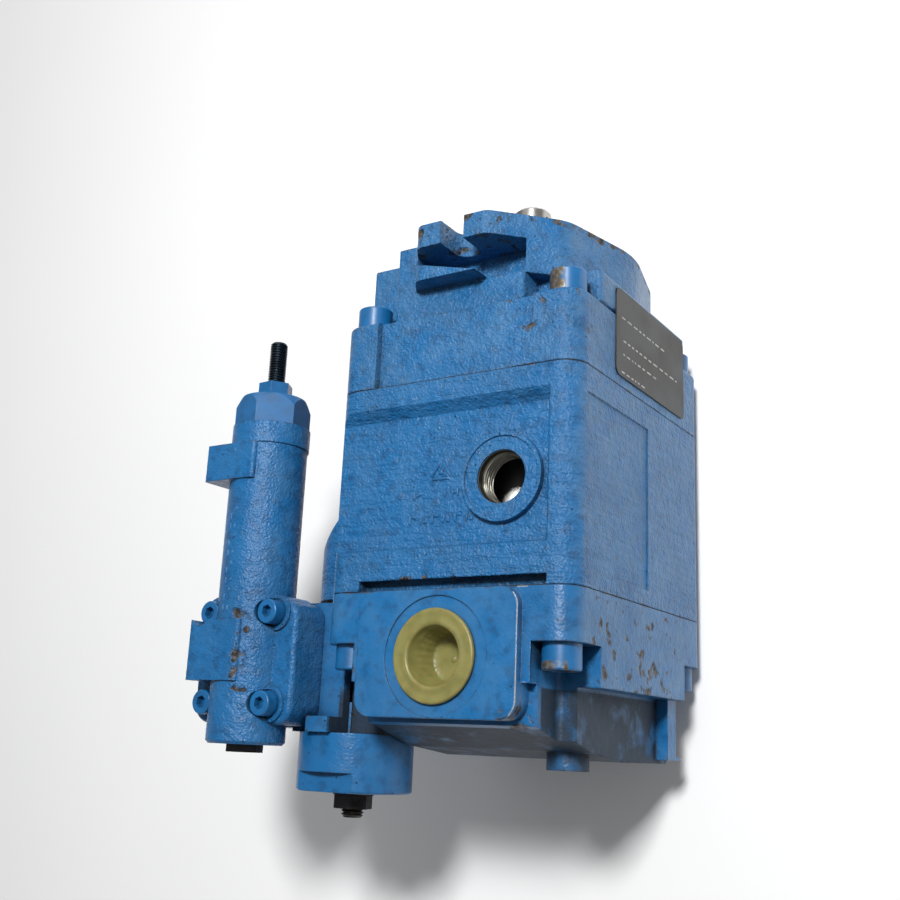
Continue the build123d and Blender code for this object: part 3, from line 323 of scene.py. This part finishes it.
def painted_hardware(name, colour, bare_share, bare_box=None):
    """Machine enamel over turned or forged steel: smooth, thin at the edges, with the steel
    rubbed bare where a wrench or key has been."""
    material, tree, shader, place = blank_material(
        name, Coat_Weight=0.2, Coat_Roughness=0.15, IOR=1.5)
    broad = grain(tree, place, 8.0, 4.0)
    paint = tint(tree, fade(tree, broad, 0.35, 0.7), (*colour, 1.0),
                 tuple(0.75 * c for c in colour) + (1.0,))
    # Painted shade: the enamel darkens in inner corners and where pieces meet.
    paint = tint(tree, combine(tree, "MULTIPLY", corners(tree, 4.0), 0.7), paint,
                 linear("#10202f"))
    rubbed = combine(tree, "MULTIPLY", convex_edges(tree, 0.9), bare_share)
    rubbed = fade(tree, combine(tree, "ADD", rubbed, broad), 0.95, 1.12)
    if bare_box is not None:
        zone = combine(tree, "MULTIPLY", inside_box(tree, place, *bare_box, 2.5), 0.55)
        zone = fade(tree, combine(tree, "ADD", zone, grain(tree, place, 10.0, 4.0)), 0.95, 1.05)
        rubbed = combine(tree, "MAXIMUM", rubbed, zone)
    steel = tint(tree, fade(tree, grain(tree, place, 2.0, 4.0), 0.4, 0.65),
                 linear("#6a5f50"), linear("#8b8a85"))
    height = combine(tree, "SUBTRACT", grain(tree, place, 1.6, 3.0),
                     combine(tree, "MULTIPLY", rubbed, 0.7))
    connect(tree, shader, Base_Color=tint(tree, rubbed, paint, steel),
            Metallic=combine(tree, "MULTIPLY", rubbed, 0.7),
            Roughness=combine(tree, "ADD", 0.28, combine(tree, "MULTIPLY", broad, 0.2)),
            Normal=bump(tree, height, 0.035, 0.35))
    return material


# --- Materials: bare metal, rubber and plastic -----------------------------------------

def machined_metal(name, code, roughness, stain_code, stain=0.4, line_mm=0.35):
    """Turned, ground or drawn metal: fine tool lines, oily stains and slightly broken gloss."""
    material, tree, shader, place = blank_material(name, Metallic=1.0)
    cloud = grain(tree, place, 9.0, 5.0)
    lines = grain(tree, place, line_mm, 2.0, stretch=(1.0, 6.0, 1.0))
    stained = combine(tree, "MULTIPLY", fade(tree, cloud, 0.45, 0.75), stain)
    colour = tint(tree, stained, linear(code), linear(stain_code))
    # Painted shade: darker in inner corners and between close pieces.
    colour = tint(tree, combine(tree, "MULTIPLY", corners(tree, 3.0), 0.6), colour,
                  tuple(0.25 * c for c in linear(stain_code)[:3]) + (1.0,))
    gloss = combine(tree, "ADD", roughness, combine(tree, "MULTIPLY", cloud, 0.15))
    connect(tree, shader, Base_Color=colour, Roughness=gloss,
            Normal=bump(tree, lines, 0.02, TURNED_EDGE_MM))
    return material


def moulded(name, code, mottle_code, roughness, grain_mm=0.8, depth_mm=0.02, **values):
    """Moulded rubber, fibre or plastic: one colour with soft mottling and a fine matt grain."""
    material, tree, shader, place = blank_material(name, **values)
    cloud = grain(tree, place, 7.0, 4.0)
    # Painted shade in inner corners and between close pieces.
    moulded_corner_shade = combine(tree, "MULTIPLY", corners(tree, 6.0), 0.55)
    colour = tint(tree, fade(tree, cloud, 0.35, 0.75), linear(code), linear(mottle_code))
    colour = tint(tree, moulded_corner_shade, colour, tuple(0.3 * c for c in linear(mottle_code)[:3]) + (1.0,))
    gloss = combine(tree, "ADD", roughness, combine(tree, "MULTIPLY", cloud, 0.2))
    connect(tree, shader, Base_Color=colour, Roughness=gloss,
            Normal=bump(tree, grain(tree, place, grain_mm, 2.0), depth_mm))
    return material


def label_foil(name):
    """Dark anodised aluminium plate: satin, brushed along Z, with pale smears of dust."""
    material, tree, shader, place = blank_material(name, Metallic=0.55)
    brushed = grain(tree, place, 1.6, 2.0, stretch=(1.0, 1.0, 0.06))
    smear = fade(tree, grain(tree, place, 22.0, 5.0), 0.4, 0.75)
    colour = tint(tree, combine(tree, "MULTIPLY", smear, 0.5), linear("#2a2a2a"),
                  linear("#55534e"))
    gloss = combine(tree, "ADD", 0.36, combine(tree, "MULTIPLY", smear, 0.2))
    connect(tree, shader, Base_Color=colour, Roughness=gloss,
            Normal=bump(tree, brushed, 0.006, 0.2))
    return material


def give(material, *nodes):
    """Puts a material in every slot of the named CAD nodes."""
    for node in nodes:
        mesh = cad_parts[node].data
        mesh.materials.clear()
        mesh.materials.append(material)
        mesh.polygons.foreach_set("material_index", np.zeros(len(mesh.polygons), np.int32))


# --- Sizes and colours a user may change ------------------------------------------------

class PumpPaint(bpy.types.PropertyGroup):
    enamel: FloatVectorProperty(
        name="Enamel", description="Blue machine enamel on the castings", subtype="COLOR",
        size=3, min=0.0, max=1.0, default=linear("#12629a")[:3])
    sand_depth: FloatProperty(
        name="Sand grain", description="Depth of the cast surface's grain, in millimetres",
        min=0.0, max=2.0, default=0.9)
    machined_depth: FloatProperty(
        name="Milled grain", description="Depth of the grain on milled faces, in millimetres",
        min=0.0, max=2.0, default=0.16)


class PumpThreads(bpy.types.PropertyGroup):
    stud_radius: FloatProperty(
        name="Stud radius", description="Outer radius of the adjusting screw, in millimetres",
        min=1.0, default=4.98)
    stud_pitch: FloatProperty(
        name="Stud pitch", description="Thread pitch of the adjusting screw, in millimetres",
        min=0.5, default=1.5)
    stop_radius: FloatProperty(
        name="Stop screw radius", description="Outer radius of the stop screw, in millimetres",
        min=1.0, default=5.98)
    stop_pitch: FloatProperty(
        name="Stop screw pitch", description="Thread pitch of the stop screw, in millimetres",
        min=0.5, default=1.75)
    port_pitch: FloatProperty(
        name="Port pitch", description="Thread pitch of the ports, in millimetres",
        min=0.5, default=2.117)
    columns: IntProperty(
        name="Columns", description="Faces round each thread", min=16, max=256, default=72)


class PumpPlug(bpy.types.PropertyGroup):
    flange_radius: FloatProperty(
        name="Flange radius", description="Rim of the shipping plug, in millimetres",
        min=5.0, default=22.9)
    recess_radius: FloatProperty(
        name="Recess radius", description="Mouth of the plug's recess, in millimetres",
        min=3.0, default=14.6)
    recess_floor: FloatProperty(
        name="Recess floor", description="Z of the recess's floor, in millimetres", default=70.0)


class PumpStudio(bpy.types.PropertyGroup):
    key_power: FloatProperty(
        name="Key light", description="Power of the overhead lamp", subtype="POWER", default=20.0)
    fill_power: FloatProperty(
        name="Fill light", description="Power of the broad side lamps", subtype="POWER",
        default=4.0)
    world: FloatProperty(
        name="Room light", description="Strength of the even white room", default=0.25)
    lens: FloatProperty(
        name="Lens", description="Focal length of the camera, in millimetres", default=45.0)


# --- Operators ----------------------------------------------------------------------------

class PUMP_OT_castings(bpy.types.Operator):
    """Paints the castings"""
    bl_idname = "pump.castings"
    bl_label = "Castings"

    def execute(self, context):
        paint = context.scene.pump_paint
        colour = tuple(paint.enamel)
        sand = paint.sand_depth
        cover = cast_enamel("enamel_on_cast_cover", colour, sand, dust=0.16, chips=0.75, patches=[
            ((30, -70, 60), (75, -45, 92), 0.42),
            ((-30, -14, 60), (30, 1, 92), 0.45),
            ((20, -2, -60), (75, 3, 70), 0.5)],
            machined=[((-52, 0.3, -52), (52, 11, 52))])
        give(cover, "front_cover")
        housing = cast_enamel("enamel_on_cast_housing", colour, sand, dust=0.1, chips=0.5,
                              marks=True)
        give(housing, "mid_housing")
        block = cast_enamel(
            "enamel_on_cast_block", colour, paint.machined_depth * 1.6, dust=0.12, chips=0.85,
            patches=[((70, -241, -40), (75, -200, 62), 0.46),
                     ((36, -262, 72), (48, -250, 90), 0.5)],
            bright_edges=[((43, -257, 78), (48, -196, 90))],
            # Painted shade with a dark film under the block's rear.
            grease_and_shade=[((-75, -280, -70), (60, -243, 70))])
        give(block, "valve_block")
        control = cast_enamel("enamel_on_cast_control", colour, sand * 0.7, dust=0.06, chips=0.7,
                              patches=[((-119, -246, 96), (-112, -205, 102), 0.5)])
        give(control, "compensator_body")
        give(cast_enamel("enamel_on_turned_cap", colour, paint.machined_depth, dust=0.05,
                         chips=0.5), "control_cap")
        return {"FINISHED"}


class PUMP_OT_hardware(bpy.types.Operator):
    """Finishes the screws, nuts, plugs, gaskets and plate"""
    bl_idname = "pump.hardware"
    bl_label = "Hardware"

    def execute(self, context):
        colour = tuple(context.scene.pump_paint.enamel)
        give(painted_hardware("enamel_on_hex_steel", colour, 0.25), "spring_cap")
        give(painted_hardware("enamel_on_nut_steel", colour, 0.4), "adjuster_jam_nut",
             "adjuster_washer")
        give(painted_hardware("enamel_on_front_bolts", colour, 0.4,
                              bare_box=((50, -50, 60), (62, -34, 80))), "front_bolts")
        give(painted_hardware("enamel_on_rear_bolts", colour, 0.35,
                              bare_box=((50, -236, 60), (66, -231, 80))), "rear_bolts")
        give(painted_hardware("enamel_on_cap_screws", colour, 0.3), "compensator_screws")
        dark = machined_metal("greasy_black_oxide_steel", "#3a3a3c", 0.42, "#1a1510", 0.7)
        give(dark, "blanking_plugs", "stop_washer", "stop_nut")
        give(moulded("compressed_fibre_gasket", "#16181b", "#24282c", 0.6), "case_gaskets")
        give(label_foil("anodised_plate"), "nameplate")
        give(machined_metal("ground_shaft_steel", "#b3b1ad", 0.22, "#7d6a55", 0.35), "shaft")
        return {"FINISHED"}


class PUMP_OT_inner(bpy.types.Operator):
    """Finishes the rotating group, the yoke and the control pieces inside the case"""
    bl_idname = "pump.inner"
    bl_label = "Inner pieces"

    def execute(self, context):
        count = range(1, 10)
        give(moulded("oil_seal_rubber", "#1b1a19", "#2a2826", 0.5, Sheen_Weight=0.1),
             "shaft_seal")
        give(machined_metal("ground_bearing_steel", "#b9b9b9", 0.18, "#82796b", 0.2),
             "front_bearing_cup", "front_bearing_cone", "rear_needle_bearing", "yoke_bearings")
        give(machined_metal("lapped_bronze", "#b08a4e", 0.28, "#6d4f2a", 0.35),
             "valve_plate", *(f"shoe_{k}" for k in count))
        give(machined_metal("hardened_block_steel", "#8f8e8b", 0.3, "#5c554b", 0.35),
             "cylinder_block", "retainer_guide", "retainer_plate")
        give(machined_metal("oiled_spring_steel", "#5b5954", 0.35, "#2c2620", 0.5),
             "block_spring", "bias_spring", "compensator_spring")
        give(machined_metal("machined_ductile_iron", "#6e6c68", 0.42, "#3b332b", 0.5, 0.8),
             "yoke")
        give(machined_metal("polished_piston_steel", "#c3c2bf", 0.14, "#8a8378", 0.2),
             "control_rod", "control_piston", "bias_guide", "bias_piston", "spring_seat",
             "compensator_spool", "stop_plunger", *(f"piston_{k}" for k in count))
        return {"FINISHED"}


def hex_radius(turn, across_flats):
    """Distance from a hexagon's centre to its side in each direction: half the width across
    flats over the cosine of the angle to the nearest flat."""
    return across_flats / 2 / np.cos(np.mod(turn, np.pi / 3) - np.pi / 6)


def threaded_rod(centre, radius, pitch, start, end, socket, columns):
    """Points of a rod along Y from start to end, its thread a helix cut into the radius. At
    start it is chamfered and has a hexagon socket of the given width; end is flat."""
    turn = np.linspace(0, 2 * np.pi, columns, endpoint=False)
    steps = int(abs(end - start) / pitch * 10)
    height = np.linspace(start, end, steps)[:, None]
    ends = np.minimum(abs(height - start), abs(height - end))
    crest = radius - np.clip(pitch * 0.8 - ends, 0.0, None)
    around = np.minimum(radius - thread_depth(height, turn, pitch, 0.58 * pitch), crest)
    sign = np.sign(end - start)
    hexagon = hex_radius(turn, socket)[None]
    flat = np.ones((1, columns))
    floor = start + sign * socket * 1.1
    rows = np.vstack([0 * flat, hexagon, hexagon, hexagon + 0.25, around, 0 * flat])
    heights = np.vstack([floor * flat, floor * flat, (start + sign * 0.25) * flat, start * flat,
                         height + 0 * turn, end * flat])
    return placed(rows * np.cos(turn), rows * np.sin(turn), heights, centre, "Y")


class PUMP_OT_studs(bpy.types.Operator):
    """Cuts the threads of the adjusting screw and of the stop screw"""
    bl_idname = "pump.studs"
    bl_label = "Threaded screws"

    def execute(self, context):
        sizes = context.scene.pump_threads
        black = machined_metal("black_oxide_screw_steel", "#3b4650", 0.3, "#14161a", 0.5)
        points = threaded_rod(COMP_AXIS, sizes.stud_radius, sizes.stud_pitch, -48.0, -104.0, 4.0,
                              sizes.columns)
        stud = piece("adjusting_stud", points, surface(points), black, "adjusting_screw",
                     ["adjusting_screw"])
        smooth(stud, 35)
        dark = machined_metal("greasy_stop_steel", "#46433f", 0.4, "#1a1510", 0.6)
        points = threaded_rod(CONTROL_AXIS, sizes.stop_radius, sizes.stop_pitch, -309.0, -279.0,
                              5.0, sizes.columns)
        stop = piece("stop_stud", points, surface(points), dark, "stop_screw",
                     ["stop_screw"])
        smooth(stop, 35)
        return {"FINISHED"}


def bore_lining(centre, face, inward, radius, pitch, smooth_depth, depth, columns):
    """Points of a thin threaded sleeve in a bore along Z: a flat lip on the face, a chamfer,
    a plain counterbore, then a thread whose crests stand in from the wall; the outside is
    plain and closes on the lip."""
    turn = np.linspace(0, 2 * np.pi, columns, endpoint=False)
    flat = np.ones((1, columns))
    lead = [(radius + 1.1, 0.06), (radius + 0.1, -0.9), (radius - 0.25, -1.3),
            (radius - 0.25, -smooth_depth), (radius - 0.9, -smooth_depth - 0.7)]
    steps = int((depth - smooth_depth - 1.0) / pitch * 10)
    height = -np.linspace(smooth_depth + 0.8, depth, steps)[:, None]
    root = radius - 0.2
    inner = root - 0.6 * pitch + thread_depth(height, turn, pitch, 0.6 * pitch)
    inner = np.minimum(inner, root)
    rows = np.vstack([r * flat for r, _ in lead] + [inner, (radius - 0.05) * flat,
                     (radius - 0.05) * flat, (radius + 1.1) * flat])
    heights = np.vstack([h * flat for _, h in lead] + [height + 0 * turn, -depth * flat,
                        -1.5 * flat, -0.05 * flat])
    return placed(rows * np.cos(turn), rows * np.sin(turn), face + inward * -heights, centre,
                  "Z")


class PUMP_OT_ports(bpy.types.Operator):
    """Cuts the threads of the case drain and of the lower port"""
    bl_idname = "pump.ports"
    bl_label = "Port threads"

    def execute(self, context):
        sizes = context.scene.pump_threads
        bright = machined_metal("oiled_cut_iron", "#86847b", 0.3, "#2c2a20", 0.75)
        points = bore_lining(DRAIN_AXIS, DRAIN_FACE, -1.0, 13.5, sizes.port_pitch, 4.6, 15.0,
                             sizes.columns)
        drain = piece("drain_port_thread", points, surface(points, True), bright, "housing")
        smooth(drain, 35)
        points = bore_lining(PORT_AXIS, LOWER_FACE, 1.0, 20.5, sizes.port_pitch, 5.0, 30.0,
                             sizes.columns)
        lower = piece("lower_port_thread", points, surface(points, True), bright, "housing")
        smooth(lower, 35)
        return {"FINISHED"}


class PUMP_OT_shipping_plug(bpy.types.Operator):
    """Moulds the plastic plug of the upper port"""
    bl_idname = "pump.shipping_plug"
    bl_label = "Shipping plug"

    def execute(self, context):
        sizes = context.scene.pump_plug
        rim = sizes.flange_radius
        mouth = sizes.recess_radius
        floor = sizes.recess_floor
        profile = [
            (0.0, floor + 0.7), (1.4, floor + 0.6), (1.9, floor), (7.5, floor + 0.3),
            (mouth - 3.4, floor + 0.2), (mouth - 2.5, floor + 1.1), (mouth - 2.5, floor + 4.2),
            (mouth - 1.9, floor + 4.8), (mouth - 1.9, floor + 8.0), (mouth - 1.3, floor + 8.6),
            (mouth - 1.3, floor + 11.6), (mouth - 0.6, floor + 12.3), (mouth - 0.3, 88.5),
            (mouth, 89.3), (mouth + 0.8, 89.9), (mouth + 2.2, 89.8), (mouth + 3.2, 89.4),
            (rim - 3.0, 89.5), (rim - 1.2, 90.1), (rim - 0.4, 89.8), (rim, 89.1),
            (rim - 0.1, 88.0), (rim - 0.6, 87.45), (20.0, 87.4), (19.6, 86.6), (19.2, 70.0),
            (18.0, 67.6), (16.5, 66.4), (0.0, 66.3),
        ]
        plastic = moulded("olive_polyethylene", "#85804a", "#736f3c", 0.3, 1.2, 0.02,
                          Subsurface_Weight=0.35, Subsurface_Scale=0.006, IOR=1.5)
        points = revolve(profile, PORT_AXIS, "Z", 128)
        # Shallow flutes run down the recess's wall: 24 waves round, 0.15 mm deep.
        away = points - np.array([*PORT_AXIS, 0.0])
        reach = np.hypot(away[..., 0], away[..., 1])
        wall = (away[..., 2] > floor + 1.0) & (away[..., 2] < floor + 12.0) & (reach < mouth)
        wave = 1.0 + 0.012 * np.cos(24 * np.arctan2(away[..., 1], away[..., 0])) * wall
        points[..., :2] = np.array(PORT_AXIS) + away[..., :2] * wave[..., None]
        plug = piece("shipping_plug_moulding", points, surface(points), plastic, "shipping_plug",
                     ["shipping_plug"])
        smooth(plug, 50)
        return {"FINISHED"}


def lozenges(places, height, power=4.0):
    """Raised pads with rounded ends: on a square grid the height falls as one minus the
    distance from the middle to the given power, along and across. Each place is
    (centre, along, across, out), with along and across half the pad's length and width."""
    side = np.linspace(-1.0, 1.0, 9)
    along, across = np.meshgrid(side, side, indexing="ij")
    lift = np.clip((1 - abs(along) ** power) * (1 - abs(across) ** power), 0.0, 1.0) ** 0.5
    centre, length, width, out = (np.array(column, float) for column in zip(*places))
    squeeze = np.sqrt(1.0 - 0.4 * along ** 2)
    points = (centre[:, None, None]
              + length[:, None, None] * along[None, ..., None]
              + width[:, None, None] * (across * squeeze)[None, ..., None]
              + out[:, None, None] * (lift * height - 0.15)[None, ..., None])
    count, rows, columns = points.shape[:3]
    index = np.arange(count * rows * columns).reshape(count, rows, columns)
    faces = np.stack([index[:, :-1, :-1], index[:, 1:, :-1], index[:, 1:, 1:],
                      index[:, :-1, 1:]], axis=-1).reshape(-1, 4)
    return points, faces


def bar(x, y, z, length, width, turn_deg):
    """One pad on a face that looks along +Z, its length turned from X."""
    turn = np.radians(turn_deg)
    along = np.array([np.cos(turn), np.sin(turn), 0.0]) * length / 2
    across = np.array([-np.sin(turn), np.cos(turn), 0.0]) * width / 2
    return (x, y, z), along, across, (0.0, 0.0, 1.0)


class PUMP_OT_cast_marks(bpy.types.Operator):
    """Raises plain cast marks, with no meaning, on the housing and the compensator"""
    bl_idname = "pump.cast_marks"
    bl_label = "Cast marks"

    def execute(self, context):
        colour = tuple(context.scene.pump_paint.enamel)
        paint = cast_enamel("enamel_on_cast_marks", colour, 0.3, dust=0.14, chips=0.1)
        face = MARKS_FACE
        places = [bar(-6.0, -139.5, face, 12.0, 1.6, 0), bar(-9.3, -134.5, face, 10.5, 1.6, 58),
                  bar(-2.7, -134.5, face, 10.5, 1.6, -58), bar(-6.0, -136.0, face, 3.4, 3.0, 0)]
        for x, turn in ((-21.6, 90), (-18.5, 20), (-3.0, 90), (1.5, 90), (4.6, 90), (3.0, 0)):
            places.append(bar(x, -147.0, face, 5.0, 1.5, turn))
        for k in range(6):
            x = -23.5 + 6.8 * k
            places.append(bar(x, -160.0, face, 5.6, 1.5, 90 - 8 * (k % 2)))
            places.append(bar(x + 2.4, -158.6 - 2.8 * (k % 2), face, 2.6, 1.5, 0))
        points, faces = lozenges(places, 1.1)
        marks = piece("housing_cast_marks", points, faces, paint, "housing")
        smooth(marks, 60)
        out = np.array([-4.0, 0.0, 20.6]) / 21.0
        across = np.array([20.6, 0.0, 4.0]) / 21.0
        places = []
        for k, y in enumerate(np.arange(-204.0, -152.0, 7.4)):
            for shift, length, turn in ((-1.8, 4.6, 0.0), (1.8, 3.4, 0.5 * (k % 3))):
                centre = np.array([COMP_AXIS[0], y + shift * (k % 2), COMP_AXIS[1]]) + out * 20.9
                centre += across * shift
                along = (across * np.sin(turn) + np.array([0.0, np.cos(turn), 0.0])) * length / 2
                places.append((centre, along, np.cross(out, along) / length * 1.4, out))
        points, faces = lozenges(places, 0.75)
        marks = piece("control_cast_marks", points, faces, paint, "housing")
        smooth(marks, 60)
        return {"FINISHED"}


class PUMP_OT_plate_lines(bpy.types.Operator):
    """Prints blank rows of dashes on the nameplate"""
    bl_idname = "pump.plate_lines"
    bl_label = "Plate lines"

    def execute(self, context):
        random = np.random.default_rng(7)
        ink = moulded("printed_grey_ink", "#b9b8b2", "#8f8d86", 0.5)
        face = frame_face("nameplate", 0)
        places = []
        for y, start, end in ((-49.5, 34.0, -20.0), (-62.0, 32.0, -42.0), (-69.5, 32.0, -8.0),
                              (-79.5, 34.0, 2.0)):
            z = start
            while z > end:
                length = random.uniform(2.0, 7.5)
                places.append(((face, y, z - length / 2), (0, 0, length / 2), (0, 0.55, 0),
                               (1, 0, 0)))
                z -= length + 1.5
        points, faces = lozenges(places, 0.19, 8.0)
        lines = piece("plate_printing", points, faces, ink, "housing")
        smooth(lines, 60)
        return {"FINISHED"}


def frame_face(node, axis):
    """The highest coordinate of a CAD node along an axis, in millimetres."""
    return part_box(node)[1][axis] / MM


def area_light(name, place, size, power):
    """A square soft lamp that looks at the pump's middle."""
    light = bpy.data.lights.new(name, "AREA")
    light.size = size
    light.energy = power
    lamp = bpy.data.objects.new(name, light)
    aim = Vector((0.0, -0.13, 0.0)) - Vector(place)
    turn = aim.to_track_quat("-Z", "Y").to_matrix().to_4x4()
    lamp.matrix_world = Matrix.Translation(place) @ turn
    bpy.context.scene.collection.objects.link(lamp)


class PUMP_OT_stage(bpy.types.Operator):
    """Sets the pale floor, the soft lamps and the camera"""
    bl_idname = "pump.stage"
    bl_label = "Stage"

    def execute(self, context):
        studio = context.scene.pump_studio
        scene = context.scene
        floor_z = CAD_BOX[0][2]
        side = np.array([-3.0, 3.0])
        across, along = np.meshgrid(side, side, indexing="ij")
        points = np.stack([across, along, np.full((2, 2), floor_z)], axis=-1).reshape(-1, 3)
        mesh = bpy.data.meshes.new("floor")
        mesh.from_pydata(points.tolist(), [], [[0, 2, 3, 1]])
        material, tree, shader, place = blank_material("pale_painted_floor")
        cloud = grain(tree, place, 300.0, 3.0)
        connect(tree, shader,
                Base_Color=tint(tree, cloud, linear("#f6f6f6"), linear("#fafafa")),
                Roughness=combine(tree, "ADD", 0.8, combine(tree, "MULTIPLY", cloud, 0.1)))
        mesh.materials.append(material)
        floor = bpy.data.objects.new("floor", mesh)
        scene.collection.objects.link(floor)

        world = bpy.data.worlds.new("white_room")
        world.use_nodes = True
        background = world.node_tree.nodes["Background"]
        background.inputs[0].default_value = linear("#ffffff")
        background.inputs[1].default_value = studio.world
        scene.world = world
        scene.view_settings.view_transform = "Standard"

        area_light("overhead_lamp", (0.38, 0.25, 1.25), 0.22, studio.key_power)
        area_light("front_window", (-0.5, 1.2, 0.9), 1.0, studio.fill_power)
        area_light("side_window", (1.4, 0.1, 0.5), 1.0, studio.fill_power * 0.2)

        lens = bpy.data.cameras.new("camera")
        lens.lens = studio.lens
        lens.sensor_width = 36.0
        camera = bpy.data.objects.new("camera", lens)
        turn = Matrix(((0.8448, 0.1012, 0.5254), (0.0432, 0.9658, -0.2556),
                       (-0.5333, 0.2386, 0.8116)))
        camera.matrix_world = Matrix.Translation((0.2993, -0.2710, 0.5427)) @ turn.to_4x4()
        scene.collection.objects.link(camera)
        scene.camera = camera
        return {"FINISHED"}


STEPS = (PUMP_OT_castings, PUMP_OT_hardware, PUMP_OT_inner, PUMP_OT_studs, PUMP_OT_ports,
         PUMP_OT_shipping_plug, PUMP_OT_cast_marks, PUMP_OT_plate_lines, PUMP_OT_stage)
GROUPS = {"pump_paint": PumpPaint, "pump_threads": PumpThreads, "pump_plug": PumpPlug,
          "pump_studio": PumpStudio}


class PUMP_PT_panel(bpy.types.Panel):
    """Lists the pump's steps and its sizes and colours"""
    bl_idname = "PUMP_PT_panel"
    bl_label = "Axial piston pump"
    bl_space_type = "VIEW_3D"
    bl_region_type = "UI"
    bl_category = "Pump"

    def draw(self, context):
        for step in STEPS:
            self.layout.operator(step.bl_idname)
        for name, group in GROUPS.items():
            for prop in group.__annotations__:
                self.layout.prop(getattr(context.scene, name), prop)


def register():
    for group in GROUPS.values():
        bpy.utils.register_class(group)
    for step in STEPS:
        bpy.utils.register_class(step)
    bpy.utils.register_class(PUMP_PT_panel)
    for name, group in GROUPS.items():
        setattr(bpy.types.Scene, name, PointerProperty(type=group))


def unregister():
    for name in GROUPS:
        delattr(bpy.types.Scene, name)
    bpy.utils.unregister_class(PUMP_PT_panel)
    for step in reversed(STEPS):
        bpy.utils.unregister_class(step)
    for group in reversed(list(GROUPS.values())):
        bpy.utils.unregister_class(group)


def main():
    register()
    for step in STEPS:
        category, name = step.bl_idname.split(".")
        getattr(getattr(bpy.ops, category), name)()


if __name__ == "__main__":
    main()
